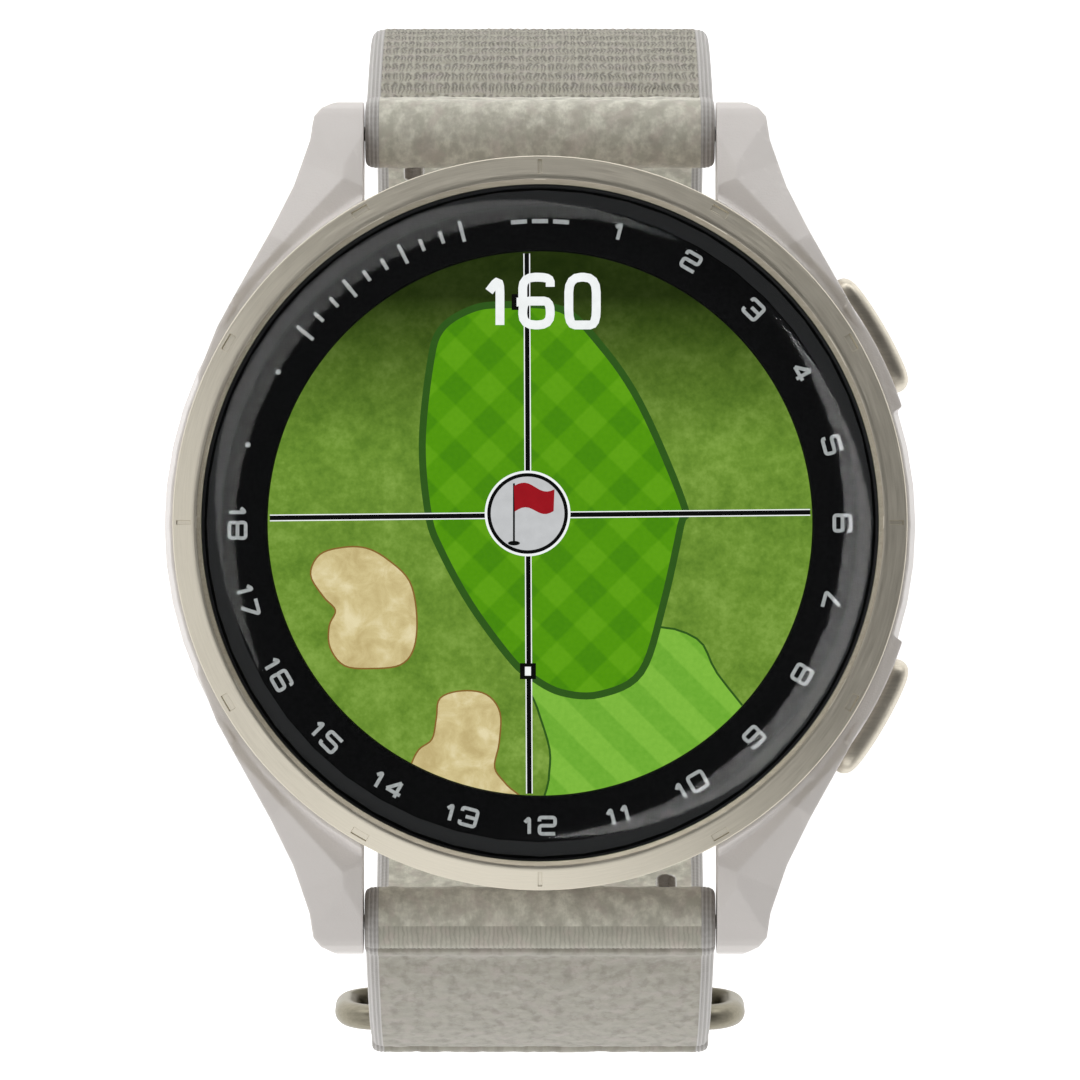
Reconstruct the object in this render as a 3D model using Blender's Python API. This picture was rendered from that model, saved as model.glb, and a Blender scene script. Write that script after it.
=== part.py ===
"""Golf GPS watch on a closed fabric strap.

The display faces +Z, 12 o'clock is +Y and 3 o'clock is +X. The origin is the centre of the sensor
window's flat outer face, which lies against the wrist. Every length below is in millimetres, and
becomes metres as its mesh is made.
"""
import math

import bmesh
import bpy
from mathutils import Matrix, Vector

MM = 0.001
TURN = 2 * math.pi

# Watch head
ROUND_STEPS = 60
CASE_RADIUS = 21.34
CASE_BOTTOM = 1.1
CASE_TOP = 8.05
CAVITY_RADIUS = 17.2
UPPER_CAVITY_RADIUS = 18.2
UPPER_CAVITY_FLOOR = 6.9
COVER_SEAT_RADIUS = 17.95
COVER_SEAT = 1.9
END_WALL_RADIUS = 19.9
BEZEL_RADIUS = 20.7
BEZEL_INNER_RADIUS = 19.06
BEZEL_BOTTOM = 8.2
BEZEL_LEDGE = 9.2
BEZEL_CREST = 10.62
BEZEL_ROOM_RADIUS = 21.15
BEZEL_GAP = 0.2
LEDGE_RADIUS = 17.95
MARK_FLOOR = 10.3
LENS_RADIUS = 18.92
LENS_BOTTOM = 9.5
LENS_TOP = 11.05
DISPLAY_RADIUS = 16.3
COVER_RADIUS = 17.7
COVER_SPIGOT_RADIUS = 16.4
WINDOW_RADIUS = 8.0
SCREW_CIRCLE = 14.6
SCREW_ANGLES = (50, 130, 230, 310)
SCREW_HOLE = 0.75
SCREW_HEAD = 1.15
SCREW_SHANK = 0.55
BOSS_HEIGHTS = (2.6, 5.2)

# Lugs and spring bars
LUG_GAP = 20.1
LUG_TIP_RADIUS = 1.85
BAR_Y = 22.5
BAR_Z = 2.8
BAR_RADIUS = 0.75
BAR_BORE = 0.5
BAR_TIP_RADIUS = 0.42
BAR_HALF_LENGTH = 9.0
BAR_TIP_END = 11.3
BAR_HOLE_END = 11.7
FIXED_TIP_START = -1.2
LEVER_TIP_START = 6.0
KNOB_RADIUS = 0.6
LEVER_X = -7.2
LEVER_TRAVEL = 1.3
LEVER_REACH = 2.7
LEVER_ANGLE = math.radians(15)
RIDGE_X = 11.15
RIDGE_OUTER_SLOPE = 0.22
RIDGE_OUTER_REACH = 6.0
RIDGE_INNER_SLOPE = 0.32
RIDGE_INNER_REACH = 2.4

# Push buttons
BUTTON_ANGLE = 30
BUTTON_Z = 5.0
BUTTON_RADIUS = 22.65
BUTTON_BACK = 21.0
BUTTON_HALF_ANGLE = 9.6
BUTTON_HEIGHT = 2.8
BUTTON_EDGE = 0.4
POCKET_GAP = 0.3
POCKET_GAP_ANGLE = 0.8
STEM_RADIUS = 0.7
STEM_END = 15.9
GROOVE_RADIUS = 0.42
STEM_HOLE = 0.95
STEM_HOLE_START = 15
SEAL_SEAT = 1.45
SEAL_SEAT_END = 18.1
GUARD_RADIUS = 21.55
GUARD_HEIGHTS = (2.7, 7.95)
POCKET_FLOOR = 19.7

# Strap
STRAP_WIDTH = 19.6
STRAP_THICKNESS = 1.9
SHORT_THICKNESS = 2.3
TAIL_THICKNESS = 1.5
PAD_THICKNESS = 0.5
TAB_THICKNESS = 0.7
TAB_WIDTH = 12
EYE_BORE = 0.95
EYE_RADIUS = 1.95
RING_WIRE = 0.75
RING_HALF_LENGTH = 11.45
RING_CORNER = 1.6
NEAR_BAR = (-28.3, -19.5)
FAR_BAR = (-27.3, -24.9)
RING_EYE_BORE = 1.05
RING_EYE_RADIUS = 2.0
FOLD_BORE = 1.15
FOLD_RADIUS = 2.45
BACK_PIVOT = (16.0, -41.55)

# How far the cutting tools run past the watch head
TOOL_BOTTOM = -2
TOOL_TOP = 12
TOOL_REACH = 30


# ---------------------------------------------------------------- materials

def principled(name, colour, roughness, metallic=0.0, alpha=1.0):
    """A Principled material, which an object of the same finish shares."""
    found = bpy.data.materials.get(name)
    if found:
        return found
    material = bpy.data.materials.new(name)
    material.use_nodes = True
    shader = material.node_tree.nodes["Principled BSDF"]
    shader.inputs["Base Color"].default_value = (*colour, 1)
    shader.inputs["Roughness"].default_value = roughness
    shader.inputs["Metallic"].default_value = metallic
    shader.inputs["Alpha"].default_value = alpha
    material.diffuse_color = (*colour, alpha)
    return material


def finish(name):
    finishes = {
        "ivory_polymer": ((0.74, 0.71, 0.67), 0.45),
        "champagne_metal": ((0.72, 0.66, 0.53), 0.28, 1.0),
        "cover_glass": ((0.85, 0.88, 0.9), 0.03, 0.0, 0.35),
        "black_print": ((0.01, 0.01, 0.011), 0.5),
        "display": ((0.1, 0.3, 0.03), 0.3),
        "black_rubber": ((0.02, 0.02, 0.02), 0.7),
        "grey_plastic": ((0.12, 0.12, 0.13), 0.5),
        "green_board": ((0.02, 0.16, 0.06), 0.5),
        "foil": ((0.6, 0.6, 0.6), 0.35, 1.0),
        "steel": ((0.6, 0.6, 0.6), 0.25, 1.0),
        "gold_contact": ((0.9, 0.68, 0.3), 0.25, 1.0),
        "sensor_glass": ((0.03, 0.03, 0.04), 0.08),
        "strap_fabric": ((0.36, 0.34, 0.29), 0.9),
        "hook_fabric": ((0.3, 0.29, 0.26), 0.9),
        "tab_polymer": ((0.33, 0.31, 0.27), 0.6),
    }
    return principled(name, *finishes[name])


# ---------------------------------------------------------------- mesh builders

def loft(sections, closed=False):
    """A closed body through equal-length loops of points, capped unless the loops form a ring."""
    bm = bmesh.new()
    loops = [[bm.verts.new(point) for point in section] for section in sections]
    pairs = list(zip(loops, loops[1:]))
    if closed:
        pairs.append((loops[-1], loops[0]))
    for first, second in pairs:
        count = len(first)
        for i in range(count):
            j = (i + 1) % count
            bm.faces.new((first[i], first[j], second[j], second[i]))
    if not closed:
        bm.faces.new(loops[0][::-1])
        bm.faces.new(loops[-1])
    bmesh.ops.recalc_face_normals(bm, faces=bm.faces)
    return bm


def prism_x(outline, low, high):
    """An outline of (y, z) points extruded along X."""
    return loft([[(x, y, z) for y, z in outline] for x in (low, high)])


def prism_z(outline, low, high):
    """An outline of (x, y) points extruded along Z."""
    return loft([[(x, y, z) for x, y in outline] for z in (low, high)])


def lathe(profile, steps=48):
    """A closed outline of (radius, z) points turned about Z. Points at radius 0 become one vertex."""
    bm = bmesh.new()
    rings = []
    for radius, z in profile:
        if radius == 0:
            rings.append([bm.verts.new((0, 0, z))] * steps)
            continue
        angles = (TURN * i / steps for i in range(steps))
        rings.append([bm.verts.new((radius * math.cos(a), radius * math.sin(a), z)) for a in angles])
    for first, second in zip(rings, rings[1:] + rings[:1]):
        for i in range(steps):
            j = (i + 1) % steps
            corners = list(dict.fromkeys((first[i], first[j], second[j], second[i])))
            if len(corners) > 2:
                bm.faces.new(corners)
    bmesh.ops.recalc_face_normals(bm, faces=bm.faces)
    return bm


def rod(radius, low, high, sides=16, inner=0):
    """A cylinder along Z, or a tube where an inner radius is given."""
    return lathe([(inner, low), (radius, low), (radius, high), (inner, high)], sides)


def torus(major, minor, steps=32, sides=6):
    circle = [TURN * i / sides for i in range(sides)]
    return lathe([(major + minor * math.cos(a), minor * math.sin(a)) for a in circle], steps)


def tube(points, radius, sides=8, closed=False):
    """A round wire along a path."""
    path = [Vector(p) for p in points]
    sections = []
    normal = None
    for i, point in enumerate(path):
        before = path[i - 1] if i or closed else point
        after = path[(i + 1) % len(path)] if closed or i + 1 < len(path) else point
        tangent = (after - before).normalized()
        if normal is None:
            normal = tangent.orthogonal().normalized()
        normal = (normal - tangent * normal.dot(tangent)).normalized()
        across = tangent.cross(normal)
        turns = [TURN * k / sides for k in range(sides)]
        sections.append([point + radius * (math.cos(t) * normal + math.sin(t) * across) for t in turns])
    return loft(sections, closed)


def helix(radius, low, high, turns, wire, steps=9, sides=4):
    """A coil spring along Z."""
    count = int(turns * steps)
    points = []
    for i in range(count + 1):
        angle = TURN * i / steps
        z = low + wire + (high - low - 2 * wire) * i / count
        points.append((radius * math.cos(angle), radius * math.sin(angle), z))
    return tube(points, wire, sides)


def block(low, high):
    corners = [(low[0], low[1]), (high[0], low[1]), (high[0], high[1]), (low[0], high[1])]
    return prism_z(corners, low[2], high[2])


def moved(bm, matrix):
    bmesh.ops.transform(bm, matrix=matrix, verts=bm.verts)
    return bm


def merged(parts):
    """Several separate bodies as one mesh."""
    whole = bmesh.new()
    for part in parts:
        scratch = bpy.data.meshes.new("scratch")
        part.to_mesh(scratch)
        part.free()
        whole.from_mesh(scratch)
        bpy.data.meshes.remove(scratch)
    return whole


def turn_z(degrees):
    return Matrix.Rotation(math.radians(degrees), 4, "Z")


def z_to_x():
    """Lays a shape that was built along Z down along X."""
    return Matrix.Rotation(math.radians(90), 4, "Y")


def arc(centre, radius, start, end, steps):
    """Points of an arc in its own plane, with angles in degrees."""
    angles = [math.radians(start + (end - start) * i / steps) for i in range(steps + 1)]
    return [(centre[0] + radius * math.cos(a), centre[1] + radius * math.sin(a)) for a in angles]


# ---------------------------------------------------------------- objects

def add_object(name, bm, origin):
    bmesh.ops.transform(bm, matrix=Matrix.Translation(-Vector(origin)), verts=bm.verts)
    bmesh.ops.scale(bm, vec=(MM, MM, MM), verts=bm.verts)
    mesh = bpy.data.meshes.new(name)
    bm.to_mesh(mesh)
    bm.free()
    obj = bpy.data.objects.new(name, mesh)
    obj.location = Vector(origin) * MM
    bpy.context.scene.collection.objects.link(obj)
    return obj


def solid(name, bm, finish_name, origin=(0, 0, 0)):
    """A piece of the watch, with its origin on its joint's axis where it moves."""
    obj = add_object(name, bm, origin)
    obj.data.materials.append(finish(finish_name))
    obj.data.shade_smooth()
    obj.data.set_sharp_from_angle(angle=math.radians(35))
    return obj


def combine(obj, operation, bm, name):
    """Cuts, joins or intersects a piece with a hidden tool."""
    tool = add_object(f"tool_{name}", bm, (0, 0, 0))
    tool.hide_render = True
    tool.display_type = "WIRE"
    modifier = obj.modifiers.new(name, "BOOLEAN")
    modifier.operation = operation
    modifier.solver = "EXACT"
    modifier.object = tool
    return tool


def soften(obj, width, segments=2, angle=40):
    bevel = obj.modifiers.new("soft_edges", "BEVEL")
    bevel.width = width * MM
    bevel.segments = segments
    bevel.limit_method = "ANGLE"
    bevel.angle_limit = math.radians(angle)


# ---------------------------------------------------------------- case

# Height of the lugs' arched top, as (distance along the strap, height).
LUG_TOP = [
    (0, 7.98), (10.9, 7.98), (13, 8.3), (15, 8.2), (18, 7.4), (20.5, 6.3), (22.5, 5.05), (23.56, 4.32),
]
# A lug's outer wall from its tip to where it runs out in the barrel, seen from above.
LUG_PLAN = [
    (12.45, 23.95), (12.9, 23.4), (13.1, 22.0), (14.0, 19.3), (15.3, 16.6), (18.3, 11.15),
    (19.35, 8.5),
]
BARREL = [
    (19.4, CASE_BOTTOM), (20.6, 1.9), (21.2, 3.2), (CASE_RADIUS, 4.8), (21.3, 6.4), (20.95, CASE_TOP),
]
RIDGE_PLAN = [(RIDGE_X, 25.0), (RIDGE_X, 19.7), (14.5, 16.0), (17.6, 12.6)]


def lug_top(y):
    """Height of the lugs' arched top at a distance along the strap."""
    y = min(abs(y), LUG_TOP[-1][0])
    for (y0, z0), (y1, z1) in zip(LUG_TOP, LUG_TOP[1:]):
        if y <= y1:
            return z0 + (z1 - z0) * (y - y0) / (y1 - y0)
    return LUG_TOP[-1][1]


def lug_arch():
    """The lugs from the side: arched top, round tips about the spring bars, near flat underside."""
    half = LUG_TOP[1:] + arc((BAR_Y, BAR_Z), LUG_TIP_RADIUS, 42, -90, 6) + [(18.0, CASE_BOTTOM + 0.15)]
    return half + [(-y, z) for y, z in reversed(half)]


def lug_pair(side):
    """The two lugs on one side, joined through the case, from above."""
    quarter = [(LUG_GAP / 2 - 1, 24.6), (11.4, 24.45)] + LUG_PLAN
    outline = quarter + [(x, -y) for x, y in reversed(quarter)]
    return prism_z([(side * x, y) for x, y in outline], TOOL_BOTTOM, TOOL_TOP)


def ridge_cutter(side, end):
    """Slopes a lug's top down from its ridge, to the outside and to the bezel and strap."""
    ways = [(1, 0), (0.92, 0.38), (0.86, 0.5), (0.74, 0.67)]
    sections = []
    for (x, y), (way_x, way_y) in zip(RIDGE_PLAN, ways):
        section = [(side * x, end * y, lug_top(y))]
        outside = (RIDGE_OUTER_REACH, RIDGE_OUTER_SLOPE)
        inside = (-RIDGE_INNER_REACH, RIDGE_INNER_SLOPE)
        for reach, slope in (outside, inside):
            far_x = x + reach * way_x
            far_y = y + reach * way_y
            low = (side * far_x, end * far_y, lug_top(far_y) - slope * abs(reach))
            high = (side * far_x, end * far_y, TOOL_TOP)
            section += [low, high] if reach > 0 else [high, low]
        sections.append(section)
    cutter = loft(sections)
    bmesh.ops.triangulate(cutter, faces=cutter.faces)
    return cutter


def strap_space(end):
    """The gap between two lugs, back to the case's end wall."""
    half = LUG_GAP / 2
    lean = math.degrees(math.asin(half / END_WALL_RADIUS))
    wall = arc((0, 0), END_WALL_RADIUS, 90 + lean, 90 - lean, 12)
    outline = wall + [(half, 27), (-half, 27)]
    return prism_z([(x, end * y) for x, y in outline], TOOL_BOTTOM, TOOL_TOP)


def button_guard(end):
    """The case's shoulder around a button."""
    outline = arc((0, 0), GUARD_RADIUS, 18, 42.5, 10) + arc((0, 0), 18.6, 46, 15, 6)
    return prism_z([(x, end * y) for x, y in outline], *GUARD_HEIGHTS)


def button_pocket(end):
    """The recess that a button's cap sinks into, its stem hole and the seal's counterbore."""
    spread = BUTTON_HALF_ANGLE + POCKET_GAP_ANGLE
    plan = arc((0, 0), 24, -spread, spread, 6) + arc((0, 0), POCKET_FLOOR, spread, -spread, 6)
    half = BUTTON_HEIGHT / 2 + POCKET_GAP
    pocket = prism_z(plan, BUTTON_Z - half, BUTTON_Z + half)
    lift = Matrix.Translation((0, 0, BUTTON_Z))
    stem = moved(rod(STEM_HOLE, STEM_HOLE_START, 20.5), lift @ z_to_x())
    seat = moved(rod(SEAL_SEAT, STEM_HOLE_START, SEAL_SEAT_END, 20), lift @ z_to_x())
    turn = turn_z(end * BUTTON_ANGLE)
    return [moved(part, turn) for part in (pocket, stem, seat)]


def around_screws(make):
    """One shape per back screw, each built at the +X place on the screw circle."""
    return [moved(make(), turn_z(angle)) for angle in SCREW_ANGLES]


def screw_boss():
    outline = arc((SCREW_CIRCLE, 0), 1.6, 90, 270, 8) + [(17.7, -1.6), (17.7, 1.6)]
    return prism_z(outline, *BOSS_HEIGHTS)


def at_screw(bm):
    return moved(bm, Matrix.Translation((SCREW_CIRCLE, 0, 0)))


def build_case():
    barrel = lathe([(0, CASE_BOTTOM)] + BARREL + [(0, CASE_TOP)], ROUND_STEPS)
    case = solid("case_body", barrel, "ivory_polymer")
    for side in (-1, 1):
        lugs = combine(case, "UNION", lug_pair(side), f"lugs_{side}")
        combine(lugs, "INTERSECT", prism_x(lug_arch(), -TOOL_REACH, TOOL_REACH), f"arch_{side}")
        for end in (-1, 1):
            combine(lugs, "DIFFERENCE", ridge_cutter(side, end), f"facet_{side}_{end}")
    combine(case, "UNION", merged([button_guard(1), button_guard(-1)]), "guards")
    bezel_room = moved(rod(BEZEL_ROOM_RADIUS, BEZEL_BOTTOM - BEZEL_GAP, TOOL_TOP, ROUND_STEPS), turn_z(2))
    combine(case, "DIFFERENCE", bezel_room, "bezel_room")
    combine(case, "DIFFERENCE", merged([strap_space(1), strap_space(-1)]), "strap_spaces")
    cavity = [
        (0, TOOL_BOTTOM), (COVER_SEAT_RADIUS, TOOL_BOTTOM), (COVER_SEAT_RADIUS, COVER_SEAT),
        (CAVITY_RADIUS, COVER_SEAT), (CAVITY_RADIUS, UPPER_CAVITY_FLOOR),
        (UPPER_CAVITY_RADIUS, UPPER_CAVITY_FLOOR), (UPPER_CAVITY_RADIUS, TOOL_TOP), (0, TOOL_TOP),
    ]
    room = combine(case, "DIFFERENCE", moved(lathe(cavity, 48), turn_z(1)), "cavity")
    combine(room, "DIFFERENCE", merged(around_screws(screw_boss)), "bosses")
    holes = around_screws(lambda: at_screw(rod(SCREW_HOLE, 2, 4.9, 12)))
    combine(case, "DIFFERENCE", merged(holes), "screw_holes")
    for part_number, parts in enumerate(zip(button_pocket(1), button_pocket(-1))):
        combine(case, "DIFFERENCE", merged(parts), f"button_{part_number}")
    bar_holes = []
    for end in (-1, 1):
        for side in (-1, 1):
            hole = moved(rod(BAR_BORE, LUG_GAP / 2 - 0.5, BAR_HOLE_END, 12), z_to_x())
            hole = moved(hole, Matrix.Scale(side, 4, (1, 0, 0)))
            bmesh.ops.recalc_face_normals(hole, faces=hole.faces)
            bar_holes.append(moved(hole, Matrix.Translation((0, end * BAR_Y, BAR_Z))))
    combine(case, "DIFFERENCE", merged(bar_holes), "bar_holes")


def build_bezel():
    profile = [
        (LEDGE_RADIUS, BEZEL_BOTTOM), (20.5, BEZEL_BOTTOM), (BEZEL_RADIUS, 8.4), (BEZEL_RADIUS, 10.15),
        (20.55, 10.32), (19.5, BEZEL_CREST), (BEZEL_INNER_RADIUS, 10.4),
        (BEZEL_INNER_RADIUS, BEZEL_LEDGE), (LEDGE_RADIUS, BEZEL_LEDGE),
    ]
    bezel = solid("bezel", lathe(profile, ROUND_STEPS), "champagne_metal")
    marks = []
    for hour in range(12):
        if hour % 3:
            mark = block((20.05, -0.5, MARK_FLOOR), (20.4, 0.5, TOOL_TOP))
        else:
            mark = block((19.55, -0.12, MARK_FLOOR), (20.65, 0.12, TOOL_TOP))
        marks.append(moved(mark, turn_z(30 * hour)))
    combine(bezel, "DIFFERENCE", merged(marks), "hour_marks")


def build_display_stack():
    lens = [(0, LENS_BOTTOM), (LENS_RADIUS, LENS_BOTTOM), (LENS_RADIUS, 10.15), (18.6, 10.42)]
    lens += [(17.9, 10.7), (16.9, 10.9), (15.6, LENS_TOP), (0, LENS_TOP)]
    solid("cover_lens", lathe(lens), "cover_glass")
    solid("lens_gasket", rod(18.8, 9.23, 9.46, 48, inner=18.0), "black_rubber")
    solid("dial_ring", rod(17.8, 9.15, 9.35, 48, inner=15.45), "black_print")
    solid("display_panel", rod(DISPLAY_RADIUS, 7.95, 8.85, 48), "display")
    solid("display_frame", rod(16.8, 7.1, 7.7, 48, inner=11.0), "grey_plastic")
    solid("gps_antenna", rod(17.9, 7.1, 8.5, 48, inner=17.1), "gold_contact")


def build_electronics():
    board = solid("main_board", rod(14.0, 6.15, 6.6, 40), "green_board")
    chips = [
        block((-6, -3, 6.5), (0, 3, 6.95)),
        block((2, 2, 6.5), (6, 6, 6.95)),
        block((3, -7, 6.5), (7, -2, 6.9)),
        block((-9, 5, 6.5), (-5, 8, 6.9)),
    ]
    combine(board, "UNION", merged(chips), "chips")
    cell = solid("battery", block((-11.2, -9.2, 2.9), (6.0, 9.2, 5.7)), "foil")
    soften(cell, 0.6)
    motor = rod(3.9, 2.9, 5.6, 32)
    solid("vibration_motor", moved(motor, Matrix.Translation((10.6, 0, 0))), "steel")
    sensor = solid("sensor_board", rod(7.4, 2.0, 2.5, 32), "green_board")
    lamps = [moved(block((2.6, -0.8, 1.75), (4.2, 0.8, 2.1)), turn_z(90 * i)) for i in range(4)]
    combine(sensor, "UNION", merged(lamps), "lamps")


def build_back():
    window = [(0, 0), (7.6, 0), (WINDOW_RADIUS, 0.35), (WINDOW_RADIUS, 1.5), (0, 1.5)]
    solid("sensor_window", lathe(window, 48), "sensor_glass")
    cover = [
        (8.3, 0.4), (9.6, 0.45), (10.9, 0.9), (COVER_RADIUS, 0.9), (COVER_RADIUS, 1.7),
        (COVER_SPIGOT_RADIUS, 1.7), (COVER_SPIGOT_RADIUS, 2.3), (8.3, 2.3),
    ]
    back = solid("back_cover", lathe(cover), "grey_plastic")
    combine(back, "DIFFERENCE", merged(around_screws(lambda: at_screw(rod(SCREW_HOLE, 0, 3, 12)))), "holes")
    combine(back, "DIFFERENCE", merged(around_screws(lambda: at_screw(rod(1.4, 0, 1.65, 16)))), "sinks")
    combine(back, "DIFFERENCE", block((-4.3, -13.9, 0), (4.3, -11.4, 3)), "port")
    port = solid("charging_port", block((-4.05, -13.65, 1.3), (4.05, -11.65, 2.4)), "black_rubber")
    for i in range(4):
        pin = rod(0.45, 1.0, 1.6, 12)
        combine(port, "UNION", moved(pin, Matrix.Translation((-3 + 2 * i, -12.65, 0))), f"pin_{i}")
    seal = torus(16.8, 0.28, 36)
    solid("back_cover_seal", moved(seal, Matrix.Translation((0, 0, 2.1))), "black_rubber")
    for number, angle in enumerate(SCREW_ANGLES, 1):
        profile = [(0, 1.0), (SCREW_HEAD, 1.0), (SCREW_HEAD, 1.55), (SCREW_SHANK, 1.6)]
        profile += [(SCREW_SHANK, 4.2), (0, 4.5)]
        turned = moved(at_screw(lathe(profile, 14)), turn_z(angle))
        screw = solid(f"back_screw_{number}", turned, "steel")
        slot = at_screw(block((-2, -0.15, 0), (2, 0.15, 1.25)))
        combine(screw, "DIFFERENCE", moved(slot, turn_z(angle)), f"slot_{number}")


# ---------------------------------------------------------------- buttons

def clip_outline():
    return arc((0, 0), 1.9, 40, 320, 14) + arc((0, 0), 0.55, 320, 40, 10)


def build_button(name, end):
    turn = turn_z(end * BUTTON_ANGLE)
    lift = Matrix.Translation((0, 0, BUTTON_Z))
    centre = turn @ Vector((BUTTON_RADIUS, 0, BUTTON_Z))

    def along_stem(bm):
        return moved(bm, turn @ lift @ z_to_x())

    spread = BUTTON_HALF_ANGLE
    plan = arc((0, 0), BUTTON_RADIUS, -spread, spread, 8) + arc((0, 0), BUTTON_BACK, spread, -spread, 8)
    half = BUTTON_HEIGHT / 2
    cap = moved(prism_z(plan, BUTTON_Z - half, BUTTON_Z + half), turn)
    button = solid(f"{name}_button", cap, "champagne_metal", centre)
    soften(button, BUTTON_EDGE)
    stem = [(0, STEM_END), (STEM_RADIUS, STEM_END), (STEM_RADIUS, 16.45), (GROOVE_RADIUS, 16.45)]
    stem += [(GROOVE_RADIUS, 17.0), (STEM_RADIUS, 17.0), (STEM_RADIUS, 21.5), (0, 21.5)]
    combine(button, "UNION", along_stem(lathe(stem, 16)), f"stem_{name}")
    solid(f"{name}_button_clip", along_stem(prism_z(clip_outline(), 16.55, 16.9)), "steel", centre)
    solid(f"{name}_button_spring", along_stem(helix(1.18, 19.8, 20.9, 2.5, 0.14)), "steel", centre)
    seal = moved(torus(1.09, 0.27, 20), Matrix.Translation((0, 0, 17.65)))
    solid(f"{name}_button_seal", along_stem(seal), "black_rubber")
    body = moved(block((13.7, -1.5, -0.75), (15.0, 1.5, 0.75)), turn @ lift)
    switch = solid(f"{name}_switch", body, "black_rubber")
    combine(switch, "UNION", along_stem(rod(0.5, 14.8, 15.3, 12)), f"plunger_{name}")


# ---------------------------------------------------------------- spring bars

def bar_tip(start, way):
    """Profile of a spring bar's rounded tip, from a place inside the tube out to one end."""
    shoulder = BAR_TIP_END - 0.2
    profile = [(0, start), (BAR_TIP_RADIUS, start), (BAR_TIP_RADIUS, shoulder), (0.3, BAR_TIP_END)]
    return [(radius, way * height) for radius, height in profile + [(0, BAR_TIP_END)]]


def build_spring_bar(name, half_turn):
    """A quick-release bar, built for the +Y end with its lever near -X, or turned to the -Y end."""
    turn = turn_z(half_turn)
    place = turn @ Matrix.Translation((0, BAR_Y, BAR_Z))
    axis_point = place @ Vector((LEVER_X, 0, 0))

    def along_bar(bm):
        return moved(bm, place @ z_to_x())

    def outward(bm):
        """Stands a shape that was built along Z out of the bar towards the case, at the lever."""
        lean = Matrix.Rotation(math.pi / 2 + LEVER_ANGLE, 4, "X")
        return moved(bm, place @ Matrix.Translation((LEVER_X, 0, 0)) @ lean)

    tube_body = rod(BAR_RADIUS, -BAR_HALF_LENGTH, BAR_HALF_LENGTH, 20, inner=BAR_BORE)
    bar = solid(f"{name}_bar_tube", along_bar(tube_body), "steel")
    slot = block((-0.4, -0.4, 0.1), (LEVER_TRAVEL + 0.4, 0.4, 1.2))
    combine(bar, "DIFFERENCE", outward(slot), f"slot_{name}")
    solid(f"{name}_bar_fixed_tip", along_bar(lathe(bar_tip(FIXED_TIP_START, 1), 12)), "steel")
    pin = along_bar(lathe(bar_tip(LEVER_TIP_START, -1), 12))
    lever = solid(f"{name}_bar_lever", pin, "steel", axis_point)
    combine(lever, "UNION", outward(rod(0.26, 0.1, 1.6, 10)), f"neck_{name}")
    knob = [(0, 1.35), (0.5, 1.35), (KNOB_RADIUS, 1.5), (KNOB_RADIUS, LEVER_REACH - 0.15)]
    knob += [(0.45, LEVER_REACH), (0, LEVER_REACH)]
    combine(lever, "UNION", outward(lathe(knob, 14)), f"knob_{name}")
    solid(f"{name}_bar_spring", along_bar(helix(0.3, -5.9, -1.3, 6, 0.09)), "steel", axis_point)


# ---------------------------------------------------------------- strap

def smooth_path(points, steps=5):
    """A smooth curve through the given points (Catmull-Rom)."""
    ends = [[2 * points[0][k] - points[1][k] for k in (0, 1)]]
    ends += [list(p) for p in points]
    ends.append([2 * points[-1][k] - points[-2][k] for k in (0, 1)])
    curve = []
    for i in range(1, len(ends) - 2):
        a, b, c, d = (Vector(p) for p in ends[i - 1:i + 3])
        for step in range(steps):
            t = step / steps
            point = 0.5 * (2 * b + (c - a) * t + (2 * a - 5 * b + 4 * c - d) * t * t)
            point += 0.5 * (3 * b - a - 3 * c + d) * t ** 3
            curve.append(point)
    curve.append(Vector(points[-1]))
    return curve


def ribbon(points, left, right, steps=5):
    """A band's side outline: the path offset by one distance to its left and one to its right."""
    path = smooth_path(points, steps)
    sides = ([], [])
    for i, point in enumerate(path):
        tangent = (path[min(i + 1, len(path) - 1)] - path[max(i - 1, 0)]).normalized()
        normal = Vector((-tangent.y, tangent.x))
        sides[0].append(tuple(point + normal * left))
        sides[1].append(tuple(point - normal * right))
    return sides[0] + sides[1][::-1]


def across(outline, width=STRAP_WIDTH):
    return prism_x(outline, -width / 2, width / 2)


def eye_solid(centre, radius, width=STRAP_WIDTH, sides=24):
    bm = moved(rod(radius, -width / 2, width / 2, sides), z_to_x())
    return moved(bm, Matrix.Translation((0, *centre)))


LONG_STRAP_FRONT = [
    (23.3, 1.1), (25.3, -3.0), (27.6, -9.5), (29.1, -15.5), (29.35, -20.5), (28.6, -27.0),
    (26.2, -33.0), (21.9, -38.4), (15.9, -41.6),
]
LONG_STRAP_BACK = [
    (14.7, -42.05), (9.5, -42.55), (4.0, -42.55), (-4.0, -42.55), (-9.0, -42.5), (-14.8, -40.8),
    (-20.2, -36.9), (-23.8, -31.5), (-25.3, -27.0), (-25.52, -24.7),
]
FLAP = [(23.45, 4.0), (24.4, 2.9), (25.15, 1.6)]
SHORT_STRAP = [(-23.3, 1.2), (-25.4, -3.6), (-27.4, -10.0), (-28.35, -15.5), (-28.4, -18.3)]
TAIL = [(-29.05, -25.2), (-28.3, -28.6), (-26.3, -33.2), (-22.7, -38.2), (-19.7, -40.8)]
PAD = [(-26.3, -31.0), (-24.3, -34.3), (-21.0, -38.3), (-19.1, -39.9)]
PULL_TAB = [(-19.3, -41.1), (-17.3, -42.3), (-15.6, -42.9)]


def lever_notch(half_turn):
    """The window in a strap's eye that the quick-release knob stands in."""
    place = turn_z(half_turn) @ Matrix.Translation((0, BAR_Y, BAR_Z))
    lean = Matrix.Rotation(math.pi / 2 + LEVER_ANGLE, 4, "X")
    window = block((LEVER_X - 1.0, -1.15, 0.2), (LEVER_X + LEVER_TRAVEL + 1.0, 1.15, 3.5))
    return moved(window, place @ lean)


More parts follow.
